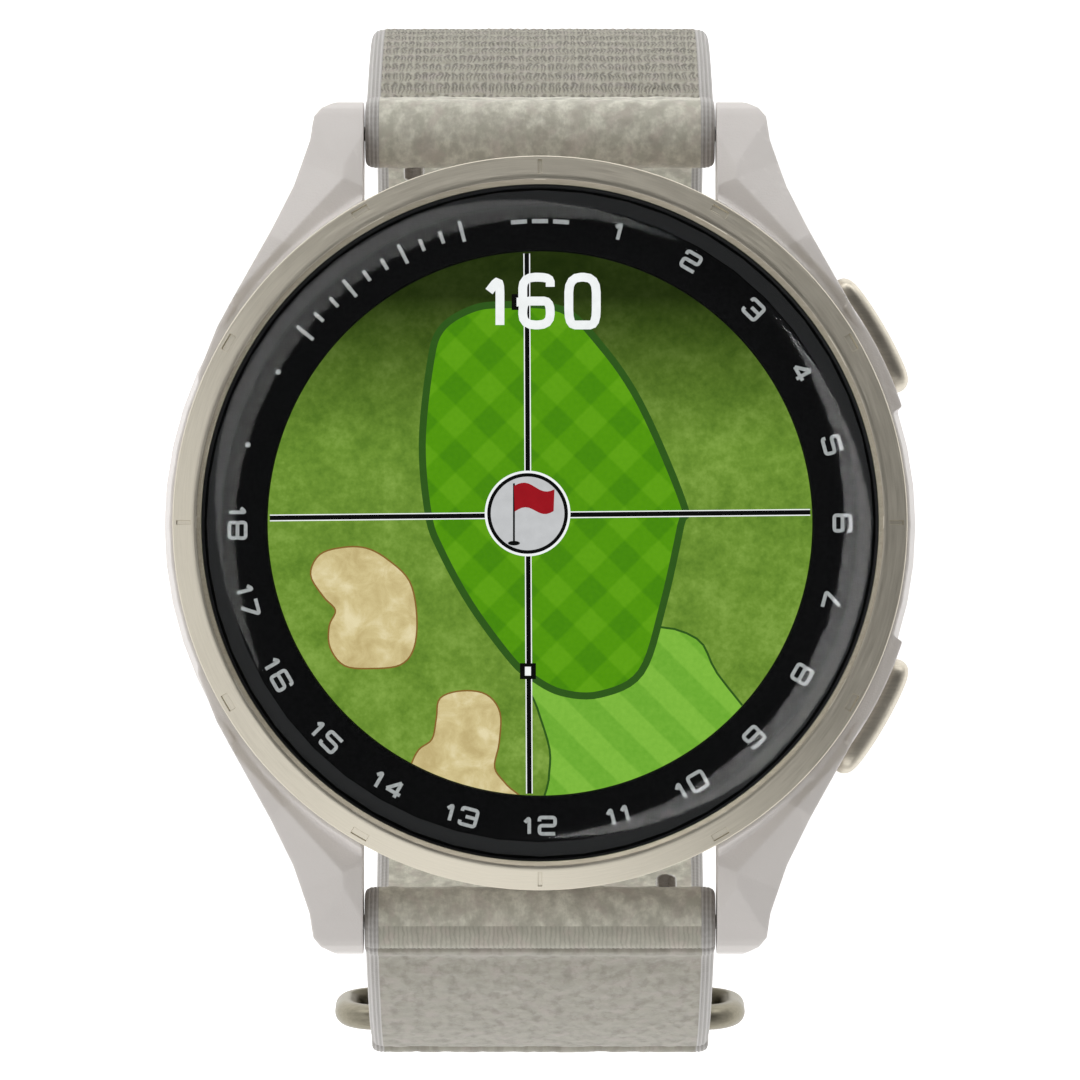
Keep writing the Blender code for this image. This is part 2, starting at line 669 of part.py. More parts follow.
def build_long_strap_front():
    band = across(ribbon(LONG_STRAP_FRONT, STRAP_THICKNESS / 2, STRAP_THICKNESS / 2))
    strap = solid("long_strap_front", band, "strap_fabric", (0, BAR_Y, BAR_Z))
    combine(strap, "UNION", eye_solid((BAR_Y, BAR_Z), EYE_RADIUS), "long_eye")
    combine(strap, "UNION", across(ribbon(FLAP, 0.85, 0.8, 2), STRAP_WIDTH - 0.1), "flap")
    knuckle = eye_solid(BACK_PIVOT, STRAP_THICKNESS / 2 - 0.02, STRAP_WIDTH - 0.2)
    combine(strap, "UNION", knuckle, "knuckle")
    combine(strap, "DIFFERENCE", eye_solid((BAR_Y, BAR_Z), EYE_BORE, 30, 20), "long_bore")
    combine(strap, "DIFFERENCE", lever_notch(0), "long_notch")


def build_long_strap_back():
    band = across(ribbon(LONG_STRAP_BACK, STRAP_THICKNESS / 2, STRAP_THICKNESS / 2))
    strap = solid("long_strap_back", band, "strap_fabric", (0, *BACK_PIVOT))
    inner = arc(FAR_BAR, FOLD_BORE, 8, 92, 6)
    outer = arc(FAR_BAR, FOLD_RADIUS, 92, 0, 8)
    combine(strap, "UNION", across(inner + outer, STRAP_WIDTH - 0.1), "fold_inner")


def build_tail():
    origin = (0, *FAR_BAR)
    band = across(ribbon(TAIL, TAIL_THICKNESS / 2, TAIL_THICKNESS / 2))
    tail = solid("tail", band, "strap_fabric", origin)
    inner = arc(FAR_BAR, FOLD_BORE, 160, 202, 4)
    outer = arc(FAR_BAR, FOLD_RADIUS, 204, 160, 5)
    combine(tail, "UNION", across(inner + outer, STRAP_WIDTH - 0.1), "fold_outer")
    pad = ribbon(PAD, PAD_THICKNESS / 2, PAD_THICKNESS / 2)
    solid("hook_pad", across(pad, STRAP_WIDTH - 2), "hook_fabric", origin)


def build_pull_tab():
    outline = ribbon(PULL_TAB, TAB_THICKNESS / 2, TAB_THICKNESS / 2, 3)
    tab = solid("pull_tab", across(outline, TAB_WIDTH), "tab_polymer", (0, *FAR_BAR))
    soften(tab, 0.15)


def build_short_strap():
    band = across(ribbon(SHORT_STRAP, SHORT_THICKNESS / 2, SHORT_THICKNESS / 2))
    strap = solid("short_strap", band, "strap_fabric", (0, -BAR_Y, BAR_Z))
    combine(strap, "UNION", eye_solid((-BAR_Y, BAR_Z), EYE_RADIUS), "short_eye")
    combine(strap, "UNION", eye_solid(NEAR_BAR, RING_EYE_RADIUS, STRAP_WIDTH - 0.1), "ring_eye")
    flap = [(-y, z) for y, z in FLAP]
    combine(strap, "UNION", across(ribbon(flap, 0.8, 0.85, 2), STRAP_WIDTH - 0.2), "short_flap")
    combine(strap, "DIFFERENCE", eye_solid((-BAR_Y, BAR_Z), EYE_BORE, 30, 20), "short_bore")
    combine(strap, "DIFFERENCE", eye_solid(NEAR_BAR, RING_EYE_BORE, 30, 20), "ring_bore")
    combine(strap, "DIFFERENCE", lever_notch(180), "short_notch")


def build_ring():
    """A rounded rectangle of wire around both ring bars."""
    near = Vector((0, *NEAR_BAR))
    far = Vector((0, *FAR_BAR))
    along = (far - near).normalized()
    centre = (near + far) / 2
    straight_x = RING_HALF_LENGTH - RING_CORNER
    straight_u = (far - near).length / 2 - RING_CORNER
    corners = [(1, 1, 0), (-1, 1, 90), (-1, -1, 180), (1, -1, 270)]
    points = []
    for side_x, side_u, start in corners:
        corner = (side_x * straight_x, side_u * straight_u)
        points += arc(corner, RING_CORNER, start, start + 90, 5)
    path = [centre + Vector((x, 0, 0)) + along * u for x, u in points]
    solid("strap_ring", tube(path, RING_WIRE, 10, closed=True), "champagne_metal", tuple(near))


def main():
    for obj in list(bpy.data.objects):
        bpy.data.objects.remove(obj, do_unlink=True)
    build_case()
    build_bezel()
    build_display_stack()
    build_electronics()
    build_back()
    build_button("upper", 1)
    build_button("lower", -1)
    build_spring_bar("upper", 0)
    build_spring_bar("lower", 180)
    build_long_strap_front()
    build_long_strap_back()
    build_tail()
    build_pull_tab()
    build_short_strap()
    build_ring()


main()
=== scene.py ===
"""Golf GPS watch on a closed fabric strap: the looks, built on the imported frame.

The display faces +Z, 12 o'clock is +Y and 3 o'clock is +X. Lengths below are in millimetres, and
become metres as a mesh is made.
"""

import math

import bmesh
import bpy
import numpy as np
from mathutils import Matrix, Vector


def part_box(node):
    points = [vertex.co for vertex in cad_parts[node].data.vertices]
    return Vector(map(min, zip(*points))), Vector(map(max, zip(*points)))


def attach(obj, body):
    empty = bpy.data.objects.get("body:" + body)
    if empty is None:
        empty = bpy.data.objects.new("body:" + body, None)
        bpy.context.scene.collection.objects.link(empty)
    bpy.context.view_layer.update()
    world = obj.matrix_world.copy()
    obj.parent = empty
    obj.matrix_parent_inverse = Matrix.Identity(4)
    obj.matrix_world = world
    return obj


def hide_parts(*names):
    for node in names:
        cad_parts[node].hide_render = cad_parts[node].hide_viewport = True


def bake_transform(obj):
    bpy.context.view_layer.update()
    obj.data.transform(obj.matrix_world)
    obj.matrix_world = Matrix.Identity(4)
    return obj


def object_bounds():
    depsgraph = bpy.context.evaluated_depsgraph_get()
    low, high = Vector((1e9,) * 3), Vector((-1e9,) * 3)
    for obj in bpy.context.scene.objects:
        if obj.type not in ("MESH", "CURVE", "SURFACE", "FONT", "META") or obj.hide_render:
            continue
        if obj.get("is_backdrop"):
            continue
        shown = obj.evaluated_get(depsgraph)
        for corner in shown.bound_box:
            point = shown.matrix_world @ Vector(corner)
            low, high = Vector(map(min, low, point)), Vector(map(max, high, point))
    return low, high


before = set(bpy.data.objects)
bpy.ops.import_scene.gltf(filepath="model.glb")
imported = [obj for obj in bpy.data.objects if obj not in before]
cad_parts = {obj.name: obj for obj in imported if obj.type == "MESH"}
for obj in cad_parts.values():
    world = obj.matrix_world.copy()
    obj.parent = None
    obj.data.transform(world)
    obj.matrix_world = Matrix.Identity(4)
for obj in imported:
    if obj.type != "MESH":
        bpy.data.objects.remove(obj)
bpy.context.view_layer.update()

MM = 0.001
TURN = 2 * math.pi


def top_of(node):
    """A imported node's highest z, in millimetres."""
    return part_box(node)[1].z / MM


def reach_of(node):
    """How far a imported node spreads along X, in millimetres."""
    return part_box(node)[1].x / MM


# Watch head, from the frame
BEZEL_RADIUS = reach_of("bezel")
BEZEL_TOP = top_of("bezel")
LENS_RADIUS = reach_of("cover_lens")
LENS_TOP = top_of("cover_lens")
DISPLAY_TOP = top_of("display_panel")
DIAL_TOP = top_of("dial_ring")

# Watch head, by design. A mark is half its width, then the radii it starts and ends at.
CHAMFER_RADIUS = 19.34
GROOVE_TOP = 10.42
MARK_FLOOR_Z = 10.2
MARK_DEPTH = 0.1
TAB_MARK = (0.49, 20.07, 20.4)
LINE_MARK = (0.11, 19.67, 20.47)
GLASS_EDGE_Z = 10.15
GLASS_BACK_Z = 9.5
CASE_VOXEL = 0.09
CASE_KEEP = 0.35
SMALL_VOXEL = 0.05
PORT_VOXEL = 0.06
SOFTEN_PASSES = 2

# Dial and display. A number's sizes are its width, height, pen, gap and corner curve.
LENS_FLAT_RADIUS = 16.7
PICTURE_RADIUS = 15.35
PICTURE_MARGIN = 0.1
PRINT_HEIGHT = 0.03
NUMBER_RADIUS = 17.06
HOLE_NUMBER = (1.08, 1.12, 0.2, 0.28, 0.16)
DISTANCE_NUMBER = (2.05, 3.2, 0.5, 0.55, 0.85)
LAYER = 0.02
LAYER_THICKNESS = LAYER * 0.7
FIRST_LAYER = 0.01
GREEN_EDGE = 0.2
FAIRWAY_EDGE = 0.12
BUNKER_EDGE = 0.09
MARK_START = 309
MARK_SPREAD = 36
DOT_ANGLES = (285, 300)

# Push buttons
CAP_BACK = 21.0
CAP_FRONT = 22.65
CAP_Z = 5.0
CAP_HEIGHT = 2.8
CAP_SPREAD = 9.6
STEM_RADIUS = 0.7
STEM_INNER_END = 15.9
STEM_SIDES = 24
STEM_TIP = 0.02

# Port
PORT_Y = -12.65
PORT_PINS = (-3, -1, 1, 3)
PIN_PROFILE = ((0.391, 0.98), (0.46, 1.05), (0.46, 1.35))
PIN_SIDES = 24

# Strap
WEB_WIDTH = 19.96
SELVEDGE = 0.8
CORD_PITCH = 0.23
BAR = (22.5, 2.8)
EYE_CENTRELINE = 1.45
NEAR_BAR = (-28.3, -19.5)
FAR_BAR = (-27.3, -24.9)
FOLD_CENTRELINE = 1.8
SHORT_EYE_CENTRELINE = 1.53
SHORT_HALF_THICKNESS = 1.1
LOOP_PITCH = 0.43
RIB_PITCH = 0.27
ROW_PITCH = 1.9
THREAD_PITCH = 0.31
HOOK_PITCH = 0.5
HOOK_WIDTH = 17.6
TAB_WIDTH = 12.0
EDGE_ROUNDING = 0.35
HALF_THICKNESS = 0.95
RING_CORNER = 1.9
RING_REACH = 11.45
WIRE_RADIUS = 0.75
WIRE_SIDES = 28

# Camera, and a floor in metres
FLOOR_HALF_WIDTH = 3.0
CAMERA_TILT = math.radians(2.0)
CAMERA_AIM = Vector((0, -0.77, 4.0))
CAMERA_DISTANCE = 540.0
CAMERA_LENS = 316.0


# ---------------------------------------------------------------- meshes

def show(name, mesh, body, materials, stands_for=(), smooth=True):
    """Makes a mesh a piece of the watch that rides on a body and stands for CAD nodes."""
    obj = bpy.data.objects.new(name, mesh)
    bpy.context.scene.collection.objects.link(obj)
    for material in materials:
        mesh.materials.append(material)
    if smooth:
        mesh.shade_smooth()
    if body:
        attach(obj, body)
    if stands_for:
        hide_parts(*stands_for)
    return obj


def mesh_of(name, points, faces, face_slots=None, uv=None):
    """A mesh from points in millimetres, with an optional slot per face and UV per point."""
    mesh = bpy.data.meshes.new(name)
    mesh.from_pydata((np.asarray(points, float) * MM).tolist(), [], [tuple(f) for f in faces])
    if face_slots is not None:
        mesh.polygons.foreach_set("material_index", np.asarray(face_slots, np.int32))
    if uv is not None:
        corner = np.empty(len(mesh.loops), np.int32)
        mesh.loops.foreach_get("vertex_index", corner)
        layer = mesh.uv_layers.new(name="weave")
        layer.data.foreach_set("uv", np.asarray(uv, np.float32)[corner].ravel())
    mesh.update()
    return mesh


def welded(mesh, distance=1e-7):
    """Joins points within a distance in metres, unless it is 0, and turns every face outwards."""
    bm = bmesh.new()
    bm.from_mesh(mesh)
    if distance:
        bmesh.ops.remove_doubles(bm, verts=bm.verts, dist=distance)
    bmesh.ops.recalc_face_normals(bm, faces=bm.faces)
    bm.to_mesh(mesh)
    bm.free()
    return mesh


def grid_faces(rows, columns, wrap_rows=False, wrap_columns=False):
    """Four-cornered faces between neighbouring points of a grid, stored row by row."""
    r = np.arange(rows if wrap_rows else rows - 1)[:, None]
    c = np.arange(columns if wrap_columns else columns - 1)[None, :]
    after_r = (r + 1) % rows
    after_c = (c + 1) % columns
    corners = (r * columns + c, r * columns + after_c, after_r * columns + after_c, after_r * columns + c)
    return np.stack(corners, axis=-1).reshape(-1, 4)


def tube_faces(rows, columns):
    """The faces of a tube of rings of points, with its two ends closed."""
    ends = [tuple(range(columns))[::-1], tuple(range((rows - 1) * columns, rows * columns))]
    return [tuple(f) for f in grid_faces(rows, columns, False, True)] + ends


def eased(outline, radius, steps=3, closed=True):
    """An outline with each corner turned into a short curve."""
    made = []
    count = len(outline)
    for i, corner in enumerate(outline):
        here = Vector(corner)
        if not closed and i in (0, count - 1):
            made.append(tuple(here))
            continue
        sides = []
        for other in (outline[i - 1], outline[(i + 1) % count]):
            way = Vector(other) - here
            sides.append(here + way * min(radius / way.length, 0.45))
        for k in range(steps + 1):
            t = k / steps
            point = sides[0] * (1 - t) ** 2 + here * (2 * t * (1 - t)) + sides[1] * t ** 2
            made.append(tuple(point))
    return made


def turned(name, profile, angles=None, sink=None):
    """A closed outline of (radius, z) points turned about Z; sink moves points down, for engraving."""
    angles = np.radians(np.arange(0, 360, 1.5) if angles is None else np.asarray(angles, float))
    outline = np.asarray(profile, float)
    x = outline[:, 0][:, None] * np.cos(angles)[None, :]
    y = outline[:, 0][:, None] * np.sin(angles)[None, :]
    z = np.repeat(outline[:, 1][:, None], len(angles), axis=1)
    if sink is not None:
        z = z - sink(x, y, z)
    points = np.stack([x, y, z], axis=-1).reshape(-1, 3)
    return welded(mesh_of(name, points, grid_faces(len(outline), len(angles), True, True)))


def arc(centre, radius, start, end, steps):
    """Points of an arc in its own plane, with angles in degrees."""
    angles = [math.radians(start + (end - start) * i / steps) for i in range(steps + 1)]
    return [(centre[0] + radius * math.cos(a), centre[1] + radius * math.sin(a)) for a in angles]


def softened(node, name, body, finish, voxel, keep=1.0):
    """A CAD node with its edges rounded, as a moulding or a polished part has them."""
    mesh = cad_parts[node].data.copy()
    mesh.materials.clear()
    obj = show(name, welded(mesh, 1e-6), body, [finish], (node,))
    obj.data.polygons.foreach_set("material_index", np.zeros(len(obj.data.polygons), np.int32))
    remesh = obj.modifiers.new("skin", "REMESH")
    remesh.mode = "VOXEL"
    remesh.voxel_size = voxel * MM
    remesh.use_smooth_shade = True
    smooth = obj.modifiers.new("soften", "SMOOTH")
    smooth.factor = 0.5
    smooth.iterations = SOFTEN_PASSES
    if keep < 1:
        thin = obj.modifiers.new("thin", "DECIMATE")
        thin.ratio = keep
    applied = bpy.data.meshes.new_from_object(obj.evaluated_get(bpy.context.evaluated_depsgraph_get()))
    obj.modifiers.clear()
    obj.data = applied
    obj.data.shade_smooth()
    return obj


def smooth_path(points, steps=8, closed=False):
    """A smooth curve through the given points (Catmull-Rom)."""
    fixed = [Vector(p) for p in points]
    if closed:
        fixed = [fixed[-1]] + fixed + fixed[:2]
    else:
        fixed = [2 * fixed[0] - fixed[1]] + fixed + [2 * fixed[-1] - fixed[-2]]
    curve = []
    for a, b, c, d in zip(fixed, fixed[1:], fixed[2:], fixed[3:]):
        for step in range(steps):
            t = step / steps
            point = 2 * b + (c - a) * t + (2 * a - 5 * b + 4 * c - d) * t * t
            curve.append(0.5 * (point + (3 * b - a - 3 * c + d) * t ** 3))
    if not closed:
        curve.append(fixed[-2])
    return curve


def even_path(points, step):
    """The path again, with points evenly spaced about one step apart, and how far along it each one is."""
    line = np.array([tuple(p) for p in points], float)
    along = np.concatenate([[0], np.cumsum(np.linalg.norm(np.diff(line, axis=0), axis=1))])
    at = np.linspace(0, along[-1], max(2, int(round(along[-1] / step)) + 1))
    return np.stack([np.interp(at, along, line[:, k]) for k in range(line.shape[1])], axis=1), at


def slab(outline, low, high):
    """Points and faces of a flat plate with a closed (x, y) outline."""
    count = len(outline)
    points = [(x, y, low) for x, y in outline] + [(x, y, high) for x, y in outline]
    faces = [tuple(range(count))[::-1], tuple(range(count, 2 * count))]
    faces += [(i, (i + 1) % count, count + (i + 1) % count, count + i) for i in range(count)]
    return points, faces


def joined(parts):
    """Several (points, faces) shapes as one."""
    points = []
    faces = []
    for part_points, part_faces in parts:
        start = len(points)
        points += [tuple(p) for p in part_points]
        faces += [tuple(start + i for i in face) for face in part_faces]
    return points, faces


def stroke(path, width, low, high):
    """Points and faces of a flat pen stroke along an open (x, y) path."""
    line = np.array([tuple(p) for p in path], float)
    ways = np.gradient(line, axis=0)
    ways /= np.linalg.norm(ways, axis=1)[:, None]
    side = np.stack([-ways[:, 1], ways[:, 0]], axis=1) * width / 2
    rim = [tuple(p) for p in line + side] + [tuple(p) for p in (line - side)[::-1]]
    count = len(line)
    points = [(x, y, low) for x, y in rim] + [(x, y, high) for x, y in rim]
    total = 2 * count
    faces = []
    for i in range(count - 1):
        quad = (i, i + 1, total - 2 - i, total - 1 - i)
        faces.append(quad)
        faces.append(tuple(total + k for k in quad[::-1]))
    faces += [(i, (i + 1) % total, total + (i + 1) % total, total + i) for i in range(total)]
    return points, faces


# ---------------------------------------------------------------- node materials

def add(tree, kind, inputs=None, **settings):
    """A node with its settings. Each input is a plain value, or a socket to link from."""
    made = tree.nodes.new("ShaderNode" + kind)
    for key, value in settings.items():
        setattr(made, key, value)
    for key, value in (inputs or {}).items():
        if isinstance(value, bpy.types.NodeSocket):
            tree.links.new(value, made.inputs[key])
        else:
            made.inputs[key].default_value = value
    return made


def maths(tree, operation, first, second=0.0, third=0.0, clamp=False):
    inputs = {0: first, 1: second, 2: third}
    return add(tree, "Math", inputs, operation=operation, use_clamp=clamp).outputs[0]


def place_mm(tree):
    """The object's own coordinates, in millimetres."""
    where = add(tree, "TexCoord").outputs["Object"]
    return add(tree, "VectorMath", {0: where, 1: (1000, 1000, 1000)}, operation="MULTIPLY").outputs[0]


def stretched(tree, vector, scale):
    return add(tree, "VectorMath", {0: vector, 1: scale}, operation="MULTIPLY").outputs[0]


def noise(tree, vector, scale, detail=2.0, roughness=0.5, distortion=0.0):
    """Noise whose scale is in cycles a millimetre."""
    inputs = {"Vector": vector, "Scale": scale, "Detail": detail, "Roughness": roughness}
    return add(tree, "TexNoise", inputs | {"Distortion": distortion}).outputs["Fac"]


def ramp(tree, factor, *stops):
    """Colours at positions along a factor."""
    made = add(tree, "ValToRGB", {0: factor})
    elements = made.color_ramp.elements
    while len(elements) < len(stops):
        elements.new(0.5)
    for element, (position, colour) in zip(elements, stops):
        element.position = position
        element.color = (*colour, 1) if hasattr(colour, "__len__") else (colour, colour, colour, 1)
    return made.outputs[0]


def blend(tree, factor, first, second, mode="MIX"):
    """One colour over another."""
    made = add(tree, "Mix", data_type="RGBA", blend_type=mode)
    for socket, value in ((made.inputs[0], factor), (made.inputs[6], first), (made.inputs[7], second)):
        if isinstance(value, bpy.types.NodeSocket):
            tree.links.new(value, socket)
        else:
            socket.default_value = (*value, 1) if hasattr(value, "__len__") else value
    return made.outputs[2]


def bump(tree, height, depth):
    """A bump of that depth in millimetres."""
    return add(tree, "Bump", {"Height": height, "Distance": depth * MM, "Strength": 1.0}).outputs[0]


def material(name, **values):
    """A Principled material, its tree and a function that links a socket of its shader."""
    made = bpy.data.materials.new(name)
    made.use_nodes = True
    tree = made.node_tree
    shader = tree.nodes["Principled BSDF"]
    for key, value in values.items():
        socket = shader.inputs[key.replace("_", " ")]
        if isinstance(value, tuple) and len(value) == 3 and socket.type == "RGBA":
            value = (*value, 1)
        socket.default_value = value

    def link(key, output):
        tree.links.new(output, shader.inputs[key])

    return made, tree, link


def rubbed(tree, colour, pale, end, share):
    """A colour made paler along its sharp edges."""
    edge = ramp(tree, add(tree, "NewGeometry").outputs["Pointiness"], (0.5, 0.0), (end, 1.0))
    return blend(tree, maths(tree, "MULTIPLY", edge, share), colour, pale)


def polymer(name, light, dark, roughness=0.42, grain=0.012):
    """Moulded plastic: fine spark-eroded grain, faint mottling, and paler sharp edges."""
    made, tree, link = material(name, Specular_IOR_Level=0.45)
    mm = place_mm(tree)
    mottle = noise(tree, mm, 0.35, 3.0)
    fine = noise(tree, mm, 9.0, 2.0)
    colour = ramp(tree, mottle, (0.3, dark), (0.7, light))
    pale = tuple(min(1.0, c * 1.1 + 0.02) for c in light)
    link("Base Color", rubbed(tree, colour, pale, 0.62, 0.35))
    link("Roughness", ramp(tree, fine, (0.3, roughness - 0.05), (0.7, roughness + 0.07)))
    link("Normal", bump(tree, fine, grain))
    return made


def turned_brushing(name, light, dark, roughness):
    """Metal brushed in circles round the dial."""
    made, tree, link = material(name, Metallic=1.0, Anisotropic=0.55)
    mm = place_mm(tree)
    parts = add(tree, "SeparateXYZ", {0: mm})
    flat = add(tree, "CombineXYZ", {0: parts.outputs[0], 1: parts.outputs[1], 2: 0.0}).outputs[0]
    radius = add(tree, "VectorMath", {0: flat}, operation="LENGTH").outputs["Value"]
    way = add(tree, "VectorMath", {0: flat}, operation="NORMALIZE").outputs[0]
    spread = stretched(tree, way, (9, 9, 0))
    lift = add(tree, "CombineXYZ", {2: maths(tree, "MULTIPLY", radius, 14.0)}).outputs[0]
    track = add(tree, "VectorMath", {0: spread, 1: lift}, operation="ADD").outputs[0]
    lines = noise(tree, track, 1.0, 4.0, 0.7)
    cloud = noise(tree, mm, 0.25, 2.0)
    colour = ramp(tree, lines, (0.3, dark), (0.7, light))
    link("Base Color", blend(tree, maths(tree, "MULTIPLY", cloud, 0.3), colour, dark))
    link("Roughness", ramp(tree, lines, (0.25, roughness - 0.07), (0.75, roughness + 0.1)))
    link("Normal", bump(tree, lines, 0.0025))
    link("Tangent", add(tree, "Tangent", direction_type="RADIAL", axis="Z").outputs[0])
    return made


def satin_metal(name, light, dark, roughness, along=(0.6, 7.0, 7.0)):
    """Metal with fine straight brushing, tiny scuffs and brighter sharp edges."""
    made, tree, link = material(name, Metallic=1.0)
    mm = place_mm(tree)
    lines = noise(tree, stretched(tree, mm, along), 1.0, 3.0, 0.6)
    scuffs = noise(tree, mm, 1.1, 3.0)
    colour = ramp(tree, lines, (0.3, dark), (0.7, light))
    bright = tuple(min(1.0, c * 1.15) for c in light)
    link("Base Color", rubbed(tree, colour, bright, 0.6, 0.6))
    link("Roughness", maths(tree, "MULTIPLY_ADD", scuffs, 0.14, roughness - 0.07))
    link("Normal", bump(tree, lines, 0.004))
    return made


def rubber(name, colour, roughness=0.6):
    made, tree, link = material(name)
    mm = place_mm(tree)
    fine = noise(tree, mm, 6.0, 3.0)
    pale = tuple(c * 1.6 + 0.004 for c in colour)
    link("Base Color", ramp(tree, fine, (0.35, colour), (0.75, pale)))
    link("Roughness", ramp(tree, fine, (0.3, roughness - 0.08), (0.7, roughness + 0.1)))
    link("Normal", bump(tree, fine, 0.01))
    return made


def clear_glass():
    """Cover glass: what is under it shows unbent, and its face mirrors the lamps."""
    made = bpy.data.materials.new("cover_glass")
    made.use_nodes = True
    tree = made.node_tree
    tree.nodes.remove(tree.nodes["Principled BSDF"])
    smear = noise(tree, place_mm(tree), 0.2, 2.0)
    see = add(tree, "BsdfTransparent", {"Color": (0.97, 0.98, 0.98, 1)})
    shine = add(tree, "BsdfAnisotropic", {"Roughness": maths(tree, "MULTIPLY_ADD", smear, 0.05, 0.06)})
    height = add(tree, "SeparateXYZ", {0: place_mm(tree)}).outputs[2]
    upper = maths(tree, "GREATER_THAN", height, 10.1)
    coated = maths(tree, "MULTIPLY", add(tree, "Fresnel", {"IOR": 1.45}).outputs[0], 0.13)
    share = maths(tree, "MULTIPLY", coated, upper)
    both = add(tree, "MixShader", {0: share, 1: see.outputs[0], 2: shine.outputs[0]})
    tree.links.new(both.outputs[0], tree.nodes["Material Output"].inputs["Surface"])
    return made


def printed(name, colour, strength=0.0):
    """Screen print: a flat ink with a fine grain in its colour and gloss. A strength above 0 makes the ink
    glow in its own colour, which is painted light.
    """
    made, tree, link = material(name, Emission_Strength=strength, Specular_IOR_Level=0.06)
    grain = noise(tree, place_mm(tree), 5.0, 3.0)
    light = tuple(min(1.0, c * 1.08 + 0.002) for c in colour)
    dark = tuple(c * 0.9 for c in colour)
    ink = ramp(tree, grain, (0.35, dark), (0.65, light))
    link("Base Color", ink)
    # Painted light: the ink glows, though print gives no light.
    if strength:
        link("Emission Color", ink)
    link("Roughness", ramp(tree, grain, (0.3, 0.4), (0.7, 0.55)))
    return made


def lit(name, paint, strength=1.0):
    """A part of the display's picture: paint(tree, millimetres) gives its own light's colour."""
    values = {"Base_Color": (0.0, 0.0, 0.0), "Specular_IOR_Level": 0.04, "Roughness": 0.5}
    made, tree, link = material(name, Emission_Strength=strength, **values)
    link("Emission Color", paint(tree, place_mm(tree)))
    return made


def flat_paint(colour):
    """A display colour with a faint unevenness."""
    def paint(tree, mm):
        light = tuple(min(1.0, c * 1.04) for c in colour)
        dark = tuple(c * 0.96 for c in colour)
        return ramp(tree, noise(tree, mm, 2.0, 2.0), (0.3, dark), (0.7, light))
    return paint


def rough_paint(tree, mm):
    """Mown rough seen from above: mottled grass, darker towards the top."""
    clumps = noise(tree, mm, 0.5, 5.0, 0.62)
    blades = noise(tree, mm, 3.0, 3.0, 0.6)
    mixed = maths(tree, "MULTIPLY_ADD", blades, 0.35, maths(tree, "MULTIPLY", clumps, 0.65))
    tones = ((0.36, (0.11, 0.22, 0.022)), (0.5, (0.16, 0.29, 0.034)), (0.66, (0.24, 0.39, 0.065)))
    height = add(tree, "SeparateXYZ", {0: mm}).outputs[1]
    shade = ramp(tree, maths(tree, "MULTIPLY_ADD", height, 0.07, 0.0), (0.3, 1.0), (0.55, 0.62), (0.9, 0.1))
    return blend(tree, 1.0, ramp(tree, mixed, *tones), shade, "MULTIPLY")


def diagonal_stripes(tree, mm, pitch, way):
    """From 0 to 1 and back across diagonal mowing stripes."""
    parts = add(tree, "SeparateXYZ", {0: mm})
    along = maths(tree, "ADD", parts.outputs[0], maths(tree, "MULTIPLY", parts.outputs[1], way))
    wave = maths(tree, "SINE", maths(tree, "MULTIPLY", along, TURN / (pitch * math.sqrt(2))))
    return maths(tree, "MULTIPLY_ADD", wave, 3.0, 0.5, clamp=True)


def green_paint(tree, mm):
    """A putting green mown both ways."""
    one = diagonal_stripes(tree, mm, 2.7, 1.0)
    other = diagonal_stripes(tree, mm, 2.7, -1.0)
    both = maths(tree, "ADD", maths(tree, "MULTIPLY", one, 0.5), maths(tree, "MULTIPLY", other, 0.5))
    blades = noise(tree, mm, 4.0, 3.0)
    mixed = maths(tree, "MULTIPLY_ADD", blades, 0.35, maths(tree, "MULTIPLY", both, 0.65))
    tones = ((0.1, (0.062, 0.245, 0.004)), (0.5, (0.09, 0.31, 0.004)), (0.9, (0.125, 0.37, 0.008)))
    return ramp(tree, mixed, *tones)


def fairway_paint(tree, mm):
    stripes = diagonal_stripes(tree, mm, 2.4, 1.0)
    blades = noise(tree, mm, 4.0, 4.0)
    mixed = maths(tree, "MULTIPLY_ADD", blades, 0.6, maths(tree, "MULTIPLY", stripes, 0.4))
    return ramp(tree, mixed, (0.15, (0.15, 0.40, 0.03)), (0.85, (0.24, 0.52, 0.055)))


def sand_paint(tree, mm):
    ripples = noise(tree, mm, 0.7, 5.0, 0.6, 0.4)
    tones = ((0.36, (0.56, 0.44, 0.2)), (0.52, (0.68, 0.56, 0.28)), (0.68, (0.82, 0.71, 0.43)))
    return ramp(tree, ripples, *tones)


# ---------------------------------------------------------------- fabric materials

def weave_coordinates(tree):
    """Across the strap and along it, in millimetres."""
    parts = add(tree, "SeparateXYZ", {0: add(tree, "UVMap", uv_map="weave").outputs[0]})
    return parts.outputs[0], parts.outputs[1]


